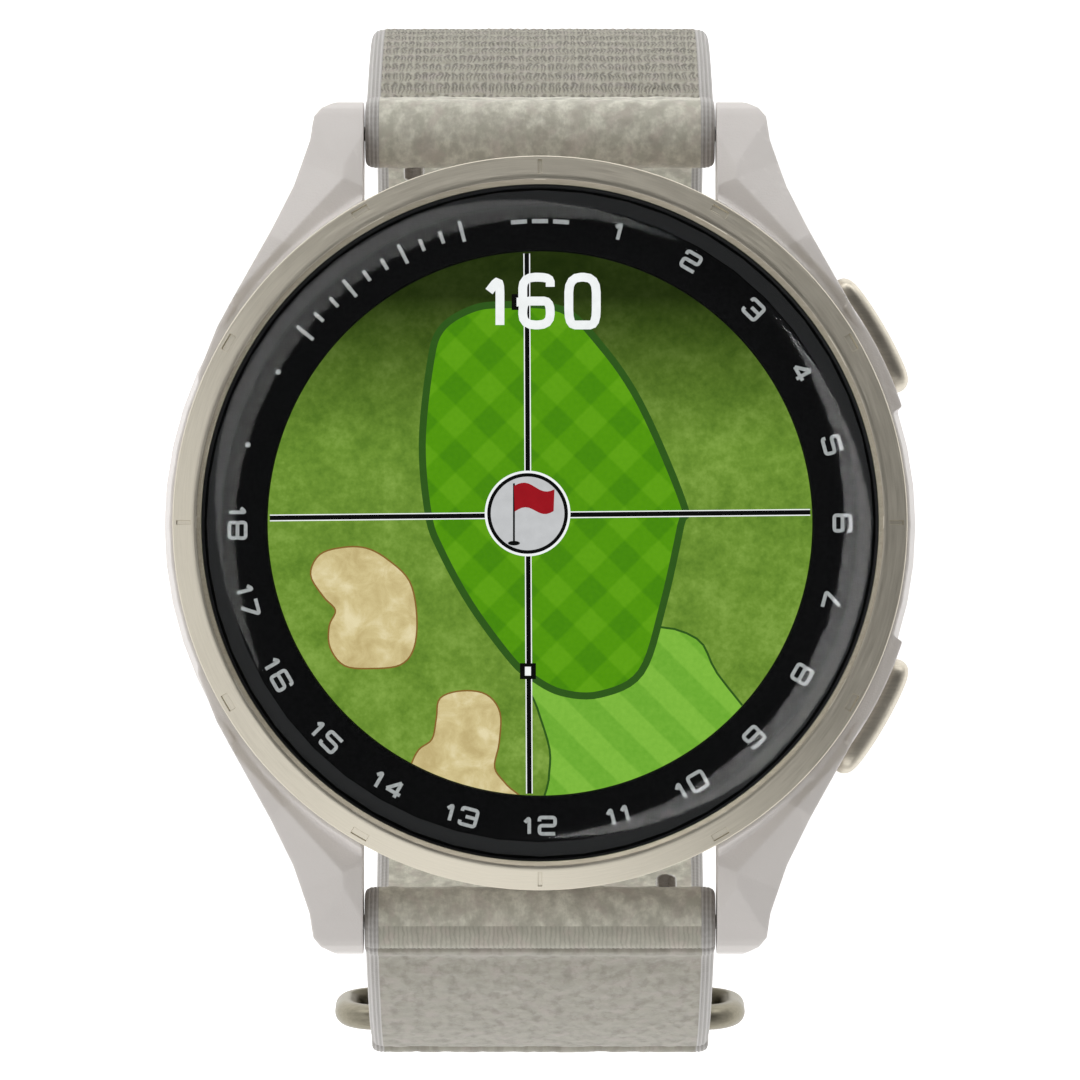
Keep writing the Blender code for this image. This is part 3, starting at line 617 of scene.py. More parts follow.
def cloth(name, light, mid, dark, shaded_gaps, depth, blotch=(0.42, 0.36, 0.33)):
    """Woven yarn: the gap mask, made from (tree, where), is 1 between the yarns, and the dark colour there is
    painted shade. Fibres and dye vary over it.
    """
    made, tree, link = material(name, Specular_IOR_Level=0.25, Sheen_Weight=0.25, Sheen_Roughness=0.6)
    u, v = weave_coordinates(tree)
    where = add(tree, "CombineXYZ", {0: u, 1: v}).outputs[0]
    gap = shaded_gaps(tree, where)
    fibres = noise(tree, stretched(tree, where, (1.0, 0.6, 1.0)), 7.0, 4.0, 0.65)
    cloud = noise(tree, where, 1.1, 4.0, 0.6)
    colour = ramp(tree, cloud, (0.4, mid), (0.58, light))
    pink = ramp(tree, noise(tree, where, 0.7, 3.0, 0.6, 0.5), (0.5, 0.0), (0.64, 0.5))
    colour = blend(tree, pink, colour, blotch)
    colour = blend(tree, ramp(tree, fibres, (0.3, 0.45), (0.6, 0.0)), colour, mid)
    # Painted shade: the dark colour laid into the gaps between yarns.
    colour = blend(tree, maths(tree, "MULTIPLY", gap, 0.75), colour, dark)
    link("Base Color", colour)
    link("Roughness", ramp(tree, fibres, (0.3, 0.82), (0.7, 0.97)))
    height = maths(tree, "SUBTRACT", maths(tree, "MULTIPLY", fibres, 0.45), gap)
    link("Normal", bump(tree, height, depth))
    return made


def knit_gaps(tree, where):
    """Rows of small loops: a gap inside each loop and a fine line between rows, which get painted shade."""
    u, v = weave_coordinates(tree)
    stray = maths(tree, "SUBTRACT", noise(tree, where, 1.1, 3.0), 0.5)

    def place_in(at, pitch, looseness):
        count = maths(tree, "DIVIDE", at, pitch)
        return maths(tree, "FRACT", maths(tree, "MULTIPLY_ADD", stray, looseness, count))

    column = place_in(u, LOOP_PITCH, 1.3)
    row = place_in(v, ROW_PITCH, 0.45)

    def spot(centre, wide, tall):
        x = maths(tree, "DIVIDE", maths(tree, "SUBTRACT", column, 0.5), wide)
        y = maths(tree, "DIVIDE", maths(tree, "SUBTRACT", row, centre), tall)
        far = maths(tree, "ADD", maths(tree, "MULTIPLY", x, x), maths(tree, "MULTIPLY", y, y))
        return maths(tree, "MULTIPLY", maths(tree, "SUBTRACT", 1.0, far, clamp=True), 1.5, clamp=True)

    hole = maths(tree, "SUBTRACT", spot(0.5, 0.43, 0.56), spot(0.32, 0.19, 0.46), clamp=True)
    return maths(tree, "MULTIPLY", hole, ramp(tree, noise(tree, where, 0.9, 3.0), (0.3, 0.5), (0.6, 1.0)))


def felt_gaps(tree, where):
    """Brushed loop pile: scattered soft pits, which get painted shade."""
    pits = noise(tree, stretched(tree, where, (1.0, 1.3, 1.0)), 1.0, 3.0, 0.55)
    return ramp(tree, pits, (0.3, 0.85), (0.55, 0.0))


def rib_gaps(tree, where):
    """A stitched band: short upright strokes side by side, with painted shade between them."""
    stray = maths(tree, "SUBTRACT", noise(tree, where, 1.4, 2.0), 0.5)
    across = maths(tree, "MULTIPLY", weave_coordinates(tree)[0], TURN / RIB_PITCH)
    wave = maths(tree, "SINE", maths(tree, "MULTIPLY_ADD", stray, 9.0, across))
    return maths(tree, "MULTIPLY_ADD", wave, 0.55, -0.05, clamp=True)


def dash_gaps(tree, where):
    """A close horizontal knit: short dashes of painted shade across the strap."""
    dashes = noise(tree, stretched(tree, where, (1.0, 0.45, 1.0)), 1.5, 3.0, 0.5)
    return ramp(tree, dashes, (0.32, 0.9), (0.52, 0.0))


def selvedge_material():
    """The strap's smooth edges: fine cords along the strap over crossing threads, with painted shade in the
    grooves, painted highlight on the cord tops and pale patches of painted sheen.
    """
    made, tree, link = material("selvedge", Specular_IOR_Level=0.4, Sheen_Weight=0.15)
    u, v = weave_coordinates(tree)
    cords = maths(tree, "SINE", maths(tree, "MULTIPLY", maths(tree, "ABSOLUTE", u), TURN / CORD_PITCH))
    threads = maths(tree, "SINE", maths(tree, "MULTIPLY", v, TURN / THREAD_PITCH))
    where = add(tree, "CombineXYZ", {0: u, 1: v}).outputs[0]
    shine = noise(tree, where, 6.0, 3.0)
    height = maths(tree, "MULTIPLY_ADD", cords, 0.85, maths(tree, "MULTIPLY", threads, 0.15))
    # The colour follows the relief: painted shade low in the grooves, painted highlight on the cord tops.
    level = maths(tree, "MULTIPLY_ADD", height, 0.35, 0.5)
    colour = ramp(tree, level, (0.1, (0.3, 0.28, 0.26)), (0.5, (0.42, 0.4, 0.375)), (0.9, (0.55, 0.53, 0.51)))
    # The pale patches where shine is high are painted sheen.
    link("Base Color", blend(tree, ramp(tree, shine, (0.5, 0.0), (0.8, 0.5)), colour, (0.56, 0.54, 0.54)))
    link("Roughness", ramp(tree, shine, (0.3, 0.45), (0.7, 0.75)))
    link("Normal", bump(tree, height, 0.02))
    return made


# ---------------------------------------------------------------- materials

IVORY = polymer("ivory_polymer", (0.74, 0.7, 0.67), (0.71, 0.67, 0.64))
GREY_PLASTIC = polymer("grey_plastic", (0.1, 0.1, 0.105), (0.075, 0.075, 0.08), 0.5)
TAB_POLYMER = polymer("tab_polymer", (0.34, 0.32, 0.28), (0.29, 0.275, 0.24), 0.5, 0.02)
BRUSHED = turned_brushing("champagne_brushed", (0.74, 0.69, 0.58), (0.63, 0.585, 0.485), 0.36)
CHAMPAGNE = satin_metal("champagne_satin", (0.7, 0.645, 0.545), (0.58, 0.53, 0.44), 0.32)
BUTTON_METAL = satin_metal("button_satin", (0.66, 0.61, 0.51), (0.55, 0.505, 0.42), 0.36)
# A darker copy of the bezel's champagne metal for its inner chamfer: painted shade, which dims the lamps it
# mirrors.
SHADED_CHAMFER = satin_metal("shaded_chamfer_satin", (0.42, 0.375, 0.3), (0.34, 0.3, 0.24), 0.45)
RING_METAL = satin_metal("ring_satin", (0.31, 0.285, 0.22), (0.245, 0.225, 0.17), 0.36)
DARK_STEEL = satin_metal("dark_steel", (0.3, 0.28, 0.25), (0.2, 0.19, 0.17), 0.25)
STEEL = satin_metal("steel", (0.62, 0.61, 0.6), (0.5, 0.49, 0.48), 0.3)
GOLD = satin_metal("gold_contact", (0.9, 0.7, 0.34), (0.8, 0.6, 0.27), 0.25)
FOIL = satin_metal("foil", (0.66, 0.66, 0.67), (0.55, 0.55, 0.56), 0.4, (3.0, 3.0, 3.0))
RUBBER = rubber("black_rubber", (0.012, 0.012, 0.013))
BOARD = polymer("green_board", (0.03, 0.17, 0.07), (0.02, 0.12, 0.05), 0.4)
GLASS = clear_glass()
BLACK_PRINT = printed("black_print", (0.004, 0.004, 0.0045))
# The dial's numbers glow a little: painted light on print under the glass.
GLOWING_NUMBER_PRINT = printed("glowing_number_print", (0.42, 0.43, 0.43), 0.35)
WINDOW_GLASS = rubber("sensor_glass", (0.006, 0.006, 0.008), 0.14)

PINK = (0.55, 0.47, 0.42)
# The third colour of each cloth is painted shade for the gaps between its yarns.
KNIT = cloth("knit", (0.405, 0.385, 0.305), (0.335, 0.315, 0.25), (0.08, 0.073, 0.055), knit_gaps, 0.07)
FELT = cloth("felt", (0.74, 0.72, 0.61), (0.5, 0.485, 0.4), (0.4, 0.375, 0.315), felt_gaps, 0.03, PINK)
BAND = cloth("stitched_band", (0.5, 0.48, 0.4), (0.43, 0.415, 0.345), (0.31, 0.295, 0.24), rib_gaps, 0.03,
             PINK)
DASH = cloth("close_knit", (0.37, 0.35, 0.29), (0.31, 0.292, 0.24), (0.22, 0.2, 0.16), dash_gaps, 0.04)
SELVEDGE_WEAVE = selvedge_material()
WEB = [KNIT, FELT, BAND, DASH, SELVEDGE_WEAVE]
KNIT_ZONE, FELT_ZONE, BAND_ZONE, DASH_ZONE, SELVEDGE_ZONE = range(5)


# ---------------------------------------------------------------- watch head

def build_case():
    softened("case_body", "case_shell", "case", IVORY, CASE_VOXEL, CASE_KEEP)


def mark_angles():
    """Even steps round the bezel, with extra ones at the borders of the hour marks."""
    angles = list(np.arange(0, 360, 2.0) + 1.0)
    for hour in range(12):
        half = 0.5 if hour % 3 else 0.12
        for edge in (half, half - 0.02):
            spread = math.degrees(edge / 20.2)
            angles += [30 * hour + spread, 30 * hour - spread]
        angles.append(30 * hour)
    return sorted(a % 360 for a in angles)


def mark_depth(x, y, z):
    """How far the bezel's face is cut down at a point, for its hour marks."""
    radius = np.hypot(x, y)
    depth = np.zeros_like(x)
    for hour in range(12):
        a = math.radians(30 * hour)
        out = x * math.cos(a) + y * math.sin(a)
        side = np.abs(-x * math.sin(a) + y * math.cos(a))
        near = out > 0
        half, start, end = TAB_MARK if hour % 3 else LINE_MARK
        cut = (side < half) & (radius > start) & (radius < end)
        depth[near & cut & (z > MARK_FLOOR_Z)] = MARK_DEPTH
    return depth


def build_bezel():
    """Crest, brushed outer face with its hour marks, inner chamfer and the groove for the lens."""
    outer = BEZEL_RADIUS
    flank = [(18.05, 8.2), (20.5, 8.2), (outer, 8.4), (outer, 10.22)]
    face = [(20.65, 10.272), (20.56, 10.3)]
    for radius in (20.48, 20.46, 20.39, 20.37, 20.08, 20.06, 19.68, 19.66, 19.5):
        face.append((radius, 10.3 + (20.56 - radius) * 0.31))
    inner = [(CHAMFER_RADIUS, BEZEL_TOP), (19.08, 10.44), (19.06, 10.4), (19.06, 9.3), (18.05, 9.2)]
    rim = eased([face[-1]] + inner, 0.05, 3, closed=False)[1:]
    profile = eased(flank, 0.06, 2, closed=False) + face + rim
    mesh = turned("bezel_ring", profile, mark_angles(), mark_depth)
    mesh.shade_smooth()
    mesh.set_sharp_from_angle(angle=math.radians(28))
    for polygon in mesh.polygons:
        middle = polygon.center / MM
        inside = math.hypot(middle.x, middle.y) < CHAMFER_RADIUS
        # Inside the chamfer's radius: the darker metal as painted shade above the groove, black rubber below
        # it.
        polygon.material_index = 0 if not inside else 1 if middle.z > GROOVE_TOP else 2
    show("bezel_ring", mesh, "case", [BRUSHED, SHADED_CHAMFER, RUBBER], ("bezel",), smooth=False)


def build_lens():
    """The glass with its rolled edge, and the black mask under its rim. Returns the glass."""
    across = LENS_RADIUS - LENS_FLAT_RADIUS
    edge = []
    for a in np.linspace(math.pi / 2, 0, 26):
        radius = LENS_FLAT_RADIUS + across * math.sin(a)
        edge.append((radius, GLASS_EDGE_Z + (LENS_TOP - GLASS_EDGE_Z) * math.cos(a)))
    flat = [(radius, LENS_TOP) for radius in (16.6, 16.5, 16.3, 16.0, 14.0, 10.0, 5.0, 0)]
    profile = [(0, GLASS_BACK_Z), (LENS_RADIUS, GLASS_BACK_Z)] + edge + flat
    mesh = turned("domed_lens", profile, np.arange(360))
    lens = show("domed_lens", mesh, "case", [GLASS], ("cover_lens",))
    under = [(PICTURE_RADIUS, DIAL_TOP - 0.2), (LENS_RADIUS, DIAL_TOP - 0.2), (LENS_RADIUS, DIAL_TOP)]
    under += [(PICTURE_RADIUS + 0.1, DIAL_TOP)]
    mesh = turned("dial_mask", eased(under, 0.03, 2))
    show("dial_mask", mesh, "case", [BLACK_PRINT], ("dial_ring",))
    return lens


def digit_paths(digit, w, h, curve):
    """Pen strokes of a squared digit in a box from (0, 0) to (w, h)."""
    m = h / 2

    def bent(*points):
        return eased(points, curve, 4, closed=False)

    ring = [(w / 2, 0), (w, 0), (w, h), (0, h), (0, 0), (w / 2, 0)]
    lower_ring = [(w / 2, m), (w, m), (w, 0), (0, 0), (0, m), (w / 2, m)]
    upper_ring = [(w / 2, m), (w, m), (w, h), (0, h), (0, m), (w / 2, m)]
    paths = {
        "0": [bent(*ring)],
        "1": [bent((w * 0.72, 0), (w * 0.72, h), (0, h * 0.7))],
        "2": [bent((0, h * 0.76), (0, h), (w, h), (w, m), (0, m), (0, 0), (w, 0))],
        "3": [bent((0, h * 0.78), (0, h), (w, h), (w, 0), (0, 0), (0, h * 0.22)), [(w * 0.3, m), (w, m)]],
        "4": [[(w * 0.72, 0), (w * 0.72, h)], [(w * 0.72, h), (0, h * 0.28)], [(0, h * 0.28), (w, h * 0.28)]],
        "5": [bent((w, h), (0, h), (0, h * 0.56), (w, h * 0.56), (w, 0), (0, 0), (0, h * 0.2))],
        "6": [bent((w, h * 0.8), (w, h), (0, h), (0, m)), bent(*lower_ring)],
        "7": [bent((0, h), (w, h), (w * 0.35, 0))],
        "8": [bent(*lower_ring), bent(*upper_ring)],
        "9": [bent((0, h * 0.2), (0, 0), (w, 0), (w, m)), bent(*upper_ring)],
    }
    return paths[digit]


def number(text, width, height, pen, gap, curve, low, narrow=0.5):
    """The digits of a number, centred on the origin, as one shape. A 1 is narrower than the others."""
    widths = [width * narrow if d == "1" else width for d in text]
    total = sum(widths) + gap * (len(text) - 1)
    x = -total / 2
    parts = []
    for digit, digit_width in zip(text, widths):
        inner_w = digit_width - pen
        inner_h = height - pen
        for k, path in enumerate(digit_paths(digit, inner_w, inner_h, curve)):
            line = [(px + x + pen / 2, py - inner_h / 2) for px, py in path]
            parts.append(stroke(line, pen, low, low + PRINT_HEIGHT + 0.002 * k))
        x += digit_width + gap
    return joined(parts)


def placed(shape, angle, radius, turn):
    """A shape turned, and moved out to a clock angle on a circle round the dial."""
    points, faces = shape
    a = math.radians(angle)
    shift = Matrix.Translation((radius * math.sin(a), radius * math.cos(a), 0))
    matrix = shift @ Matrix.Rotation(turn, 4, "Z")
    return [tuple(matrix @ Vector(p)) for p in points], faces


def build_numbers():
    """Hole numbers 1 to 18 round the dial, and small round and long marks where it has no number."""
    shapes = []
    for hole in range(1, 19):
        angle = 15 * hole
        turn = -math.radians(angle) if hole <= 6 else math.pi - math.radians(angle)
        digits = number(str(hole), *HOLE_NUMBER, DIAL_TOP)
        shapes.append(placed(digits, angle, NUMBER_RADIUS, turn))
    for angle in DOT_ANGLES:
        dot = slab(arc((0, 0), 0.15, 0, 330, 11), DIAL_TOP, DIAL_TOP + PRINT_HEIGHT)
        shapes.append(placed(dot, angle, NUMBER_RADIUS, 0.0))
    for step in range(10):
        angle = MARK_START + MARK_SPREAD * step / 9
        length = 1.2 if step % 3 == 0 else 0.7
        tick = stroke([(0, -length / 2), (0, length / 2)], 0.2, DIAL_TOP, DIAL_TOP + PRINT_HEIGHT)
        shapes.append(placed(tick, angle, NUMBER_RADIUS, -math.radians(angle)))
    for offset in (-4.0, 0.0, 4.0):
        bar = stroke([(-0.45, 0), (0.45, 0)], 0.24, DIAL_TOP, DIAL_TOP + PRINT_HEIGHT)
        shapes.append(placed(bar, offset, NUMBER_RADIUS, -math.radians(offset)))
    mesh = mesh_of("dial_numbers", *joined(shapes))
    show("dial_numbers", welded(mesh), "case", [GLOWING_NUMBER_PRINT], smooth=False)


# ---------------------------------------------------------------- display picture

GREEN_OUTLINE = [
    (-5.6, 10.95), (-4.0, 12.05), (-2.2, 12.35), (1.2, 12.1), (3.4, 10.1), (5.7, 6.7), (8.1, 1.1),
    (7.95, -0.1), (6.95, -4.6), (5.7, -8.4), (3.4, -9.65), (1.2, -9.55), (-0.5, -8.65),
    (-1.65, -7.65), (-3.9, -4.6), (-5.6, -1.5), (-6.3, 0.5), (-6.65, 4.5), (-6.2, 9.0),
]
FAIRWAY_OUTLINE = [
    (6.0, -6.0), (8.8, -6.55), (9.95, -8.5), (12.3, -11.5), (14.0, -14.0), (5.0, -17.0), (0.5, -16.5),
    (0.55, -14.5), (0.6, -12.75), (-0.1, -10.4), (-0.5, -8.9), (2.0, -8.0),
]
LEFT_BUNKER = [
    (-12.9, -2.9), (-12.4, -1.8), (-11.1, -1.4), (-9.8, -1.45), (-8.6, -2.1), (-7.4, -3.3), (-7.0, -5.2),
    (-7.15, -7.0), (-7.9, -7.95), (-9.5, -8.15), (-11.0, -8.0), (-11.8, -7.0), (-11.85, -5.8),
    (-11.5, -4.9), (-12.2, -4.1),
]
LOWER_BUNKER = [
    (-5.6, -9.9), (-4.4, -9.5), (-3.05, -9.7), (-2.3, -10.7), (-2.35, -12.4), (-2.6, -13.8), (-1.9, -14.8),
    (-1.0, -15.9), (-4.5, -16.5), (-7.6, -15.0), (-7.25, -13.7), (-6.8, -12.8), (-6.05, -12.2), (-5.8, -11.0),
]
PIN = (-0.7, 0.55)
FLAG_DISC_RADIUS = 2.08
CROSS_LINE_MARKERS = [(-1.15, 12.5), (-0.68, -8.35)]


def clipped(outline, radius=PICTURE_RADIUS, sides=120):
    """The part of an outline that lies inside the display's circle."""
    for i in range(sides):
        a = TURN * i / sides
        nx, ny = math.cos(a), math.sin(a)
        kept = []
        for j, here in enumerate(outline):
            before = outline[j - 1]
            d0 = radius - (before[0] * nx + before[1] * ny)
            d1 = radius - (here[0] * nx + here[1] * ny)
            if (d0 < 0) != (d1 < 0):
                t = d0 / (d0 - d1)
                kept.append((before[0] + (here[0] - before[0]) * t, before[1] + (here[1] - before[1]) * t))
            if d1 >= 0:
                kept.append((here[0], here[1]))
        outline = kept
    return outline


def grown(outline, by):
    """A closed outline pushed outwards by a distance."""
    line = np.array([tuple(p) for p in outline], float)
    ways = np.roll(line, -1, axis=0) - np.roll(line, 1, axis=0)
    ways /= np.linalg.norm(ways, axis=1)[:, None]
    side = np.stack([ways[:, 1], -ways[:, 0]], axis=1)
    area = np.sum(line[:, 0] * np.roll(line[:, 1], -1) - line[:, 1] * np.roll(line[:, 0], -1))
    return [tuple(p) for p in line + side * by * np.sign(area)]


def layer(level):
    """Lowest and highest z of one of the picture's layers."""
    low = DISPLAY_TOP + FIRST_LAYER + LAYER * level
    return low, low + LAYER_THICKNESS


def map_area(outline, level):
    return slab(clipped(outline), *layer(level))


def disc_at(centre, radius, level, sides=64):
    return slab(arc(centre, radius, 0, 360 * (1 - 1 / sides), sides - 1), *layer(level))


def bar_between(start, end, width, level):
    return stroke([start, end], width, *layer(level))


def picture_piece(name, shapes, paint_material):
    mesh = welded(mesh_of(name, *joined(shapes)), 0)
    return show(name, mesh, "case", [paint_material], smooth=False)


def flag_outline():
    """A waving flag's outline beside the top of its pole."""
    x0, y0 = PIN[0] - 0.78, PIN[1] + 1.55
    top = []
    low = []
    for t in np.linspace(0, 1, 12):
        wave = 0.22 * math.sin(TURN * t * 0.95)
        top.append((x0 + 2.3 * t, y0 + wave - 0.12 * t))
        low.append((x0 + 0.05 + 2.2 * t, y0 - 1.45 + wave + 0.1 * t))
    return top + low[::-1]


def build_picture():
    """The hole map: rough, green, fairway, bunkers, cross lines, flag and distance."""
    def plain(name, *colour):
        return lit(name, flat_paint(colour))

    dark_edge = plain("green_edge", 0.03, 0.1, 0.012)
    white = plain("display_white", 0.93, 0.94, 0.94)
    black = plain("display_black", 0.003, 0.003, 0.003)
    brown = plain("bunker_edge", 0.25, 0.13, 0.03)
    rough = [disc_at((0, 0), PICTURE_RADIUS + PICTURE_MARGIN, 0, 180)]
    panel = picture_piece("map_rough", rough, lit("map_rough", rough_paint))
    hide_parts("display_panel")
    fairway = smooth_path(FAIRWAY_OUTLINE, 4, closed=True)
    green = smooth_path(GREEN_OUTLINE, 6, closed=True)
    edges = [map_area(grown(fairway, FAIRWAY_EDGE), 1), map_area(grown(green, GREEN_EDGE), 3)]
    picture_piece("map_edges", edges, dark_edge)
    picture_piece("map_fairway", [map_area(fairway, 2)], lit("map_fairway", fairway_paint))
    picture_piece("map_green", [map_area(grown(green, -GREEN_EDGE), 4)], lit("map_green", green_paint))
    bunkers = [smooth_path(bunker, 5, closed=True) for bunker in (LEFT_BUNKER, LOWER_BUNKER)]
    picture_piece("map_bunker_edges", [map_area(grown(b, BUNKER_EDGE), 1) for b in bunkers], brown)
    picture_piece("map_bunkers", [map_area(b, 2) for b in bunkers], lit("map_sand", sand_paint))
    reach = PICTURE_RADIUS - PICTURE_MARGIN
    lines = [((-0.75, reach), (-0.6, -reach)), ((-reach, 0.3), (reach, 0.62))]
    halo = [bar_between(a, b, 0.38, 5 + k) for k, (a, b) in enumerate(lines)]
    core = [bar_between(a, b, 0.26, 7 + k) for k, (a, b) in enumerate(lines)]
    core += [bar_between((x - 0.45, y), (x + 0.45, y), 0.9, 9) for x, y in CROSS_LINE_MARKERS]
    halo += [bar_between((x - 0.17, y), (x + 0.17, y), 0.5, 10) for x, y in CROSS_LINE_MARKERS]
    halo.append(disc_at(PIN, FLAG_DISC_RADIUS + 0.34, 11))
    core.append(disc_at(PIN, FLAG_DISC_RADIUS + 0.2, 12))
    pole = PIN[0] - 0.77
    core.append(bar_between((pole, PIN[1] + 1.7), (pole, PIN[1] - 1.65), 0.11, 15))
    around = np.linspace(0, TURN, 20)[:-1]
    base = [(pole + 0.34 * math.cos(a), PIN[1] - 1.68 + 0.13 * math.sin(a)) for a in around]
    core.append(slab(base, *layer(15)))
    picture_piece("map_black_lines", core, black)
    points, faces = number("160", *DISTANCE_NUMBER, layer(14)[0], 0.66)
    halo.append(([(x + 0.15, y + 12.55, z) for x, y, z in points], faces))
    picture_piece("map_white_lines", halo, white)
    grey = plain("flag_disc", 0.57, 0.57, 0.58)
    picture_piece("map_flag_disc", [disc_at(PIN, FLAG_DISC_RADIUS, 13)], grey)
    red = plain("flag_red", 0.33, 0.008, 0.014)
    picture_piece("map_flag", [slab(flag_outline(), *layer(16))], red)


# ---------------------------------------------------------------- buttons, bars and back

def button_cap(name, clock):
    """A push button: a full rounded bar bent round the case, on its stem."""
    share = np.sin(np.linspace(-math.pi / 2, math.pi / 2, 61))
    turn = np.linspace(0, TURN, 44, endpoint=False)
    flat_cos = np.sign(np.cos(turn)) * np.abs(np.cos(turn)) ** 0.6
    flat_sin = np.sign(np.sin(turn)) * np.abs(np.sin(turn)) ** 0.6
    full = np.sqrt(np.clip(1 - np.abs(share) ** 9, 0, 1))[:, None]
    radius = (CAP_FRONT + CAP_BACK) / 2 + (CAP_FRONT - CAP_BACK) / 2 * flat_cos[None, :] * full
    height = CAP_Z + CAP_HEIGHT / 2 * flat_sin[None, :] * full
    angle = np.radians(clock + CAP_SPREAD * share)[:, None]
    points = np.stack([radius * np.cos(angle), radius * np.sin(angle), height], axis=-1).reshape(-1, 3)
    cap = (points, grid_faces(len(share), len(turn), False, True))
    out = Vector((math.cos(math.radians(clock)), math.sin(math.radians(clock)), 0))
    side = out.cross(Vector((0, 0, 1)))
    stem = []
    start, end = STEM_INNER_END, CAP_BACK + 0.5
    for reach, wide in ((start, STEM_TIP), (start, STEM_RADIUS), (end, STEM_RADIUS), (end, STEM_TIP)):
        for x, z in arc((0, 0), wide, 0, 345, STEM_SIDES - 1):
            stem.append(out * reach + side * x + Vector((0, 0, CAP_Z + z)))
    stem_faces = tube_faces(4, STEM_SIDES)
    mesh = welded(mesh_of(name, *joined([cap, (stem, stem_faces)])))
    show(f"{name}_cap", mesh, name, [BUTTON_METAL], (name,))


def build_small_parts():
    for name, clock in (("upper", 30), ("lower", -30)):
        button_cap(f"{name}_button", clock)
        softened(f"{name}_bar_lever", f"{name}_lever_pin", f"{name}_lever", DARK_STEEL, SMALL_VOXEL)
    softened("charging_port", "port_block", "case", RUBBER, PORT_VOXEL)
    shared = {
        "steel": STEEL, "black_rubber": RUBBER, "grey_plastic": GREY_PLASTIC, "green_board": BOARD,
        "foil": FOIL, "gold_contact": GOLD, "sensor_glass": WINDOW_GLASS, "champagne_metal": CHAMPAGNE,
    }
    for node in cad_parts.values():
        for slot in node.material_slots:
            if slot.material and slot.material.name in shared and not node.hide_render:
                slot.material = shared[slot.material.name]


def build_back():
    """The sensor's domed window and the port's gold pins."""
    window = [(0, 0), (7.6, 0), (8.0, 0.35), (8.0, 1.5), (0, 1.5)]
    profile = [window[0]] + eased(window[1:4], 0.12, 4, closed=False) + [window[4]]
    mesh = turned("window_dome", profile)
    show("window_dome", mesh, "case", [WINDOW_GLASS], ("sensor_window",))
    shapes = []
    for x in PORT_PINS:
        rings = [(arc((x, PORT_Y), radius, 0, 345, PIN_SIDES - 1), z) for radius, z in PIN_PROFILE]
        points = [(px, py, z) for ring, z in rings for px, py in ring]
        shapes.append((points, tube_faces(len(rings), PIN_SIDES)))
    mesh = welded(mesh_of("port_pins", *joined(shapes)))
    mesh.shade_smooth()
    mesh.set_sharp_from_angle(angle=math.radians(50))
    show("port_pins", mesh, "case", [GOLD], smooth=False)


# ---------------------------------------------------------------- strap

def lattice(x, y, seed):
    """Smooth random heights from -1 to 1 over a plane, the same for a seed on every run."""
    table = np.random.default_rng(seed).uniform(-1, 1, (64, 64))
    xi = np.floor(x).astype(int)
    yi = np.floor(y).astype(int)
    fx = x - xi
    fy = y - yi
    fx = fx * fx * (3 - 2 * fx)
    fy = fy * fy * (3 - 2 * fy)
    low = table[yi % 64, xi % 64] * (1 - fx) + table[yi % 64, (xi + 1) % 64] * fx
    high = table[(yi + 1) % 64, xi % 64] * (1 - fx) + table[(yi + 1) % 64, (xi + 1) % 64] * fx
    return low * (1 - fy) + high * fy


def knit_relief(u, v):
    """Rows of loops: rounded rows, with a pit inside each loop."""
    stray = lattice(u * 1.1, v * 1.1, 3) * 0.2
    column = (u / LOOP_PITCH + stray) % 1 - 0.5
    row = (v / ROW_PITCH + stray * 0.5) % 1
    pit = np.exp(-((column / 0.24) ** 2 + ((row - 0.45) / 0.28) ** 2))
    strength = 0.6 + 0.4 * lattice(u * 0.9, v * 0.9, 6)
    return 0.06 * np.sin(math.pi * row) - 0.12 * pit * strength + 0.03 * lattice(u * 2.3, v * 2.3, 5)


def felt_relief(u, v):
    return 0.03 * lattice(u * 1.1, v * 1.3, 7) + 0.025 * lattice(u * 2.6, v * 3.0, 11)


def band_relief(u, v):
    stray = lattice(u * 1.4, v * 1.4, 13) * 1.5
    return 0.025 * np.cos(u * TURN / RIB_PITCH + stray) - 0.01


def dash_relief(u, v):
    return 0.03 * lattice(u * 1.3, v * 0.6, 17) + 0.03 * lattice(u * 2.6, v * 1.2, 19)


RELIEFS = {KNIT_ZONE: knit_relief, FELT_ZONE: felt_relief, BAND_ZONE: band_relief, DASH_ZONE: dash_relief}


def section_columns(count):
    """Places across the strap, closer together near its rounded edges."""
    half = WEB_WIDTH / 2
    middle = np.linspace(-half + EDGE_ROUNDING, half - EDGE_ROUNDING, count)
    near = half - EDGE_ROUNDING * (1 - np.sin(np.linspace(0, math.pi / 2, 6)[1:]))
    return np.concatenate([-near[::-1], middle, near])


def web_face(u, v, zone_at, ridge=0.022):
    """Height of the strap's face over its plain surface: the zone's relief, or the selvedge's cords."""
    zones = zone_at(v)
    relief = np.zeros_like(u)
    for zone, make in RELIEFS.items():
        here = zones == zone
        if here.any():
            relief[here] = make(u[here], v[here])
    cords = ridge * np.cos(np.abs(u) * TURN / CORD_PITCH)
    edge = WEB_WIDTH / 2 - np.abs(u)
    body = np.clip((edge - SELVEDGE) / 0.12, 0, 1)
    relief = relief * body + cords * (1 - body)
    return relief * np.clip(edge / 0.25, 0, 1)



def everywhere(zone):
    return lambda v: np.full(np.shape(v), zone)


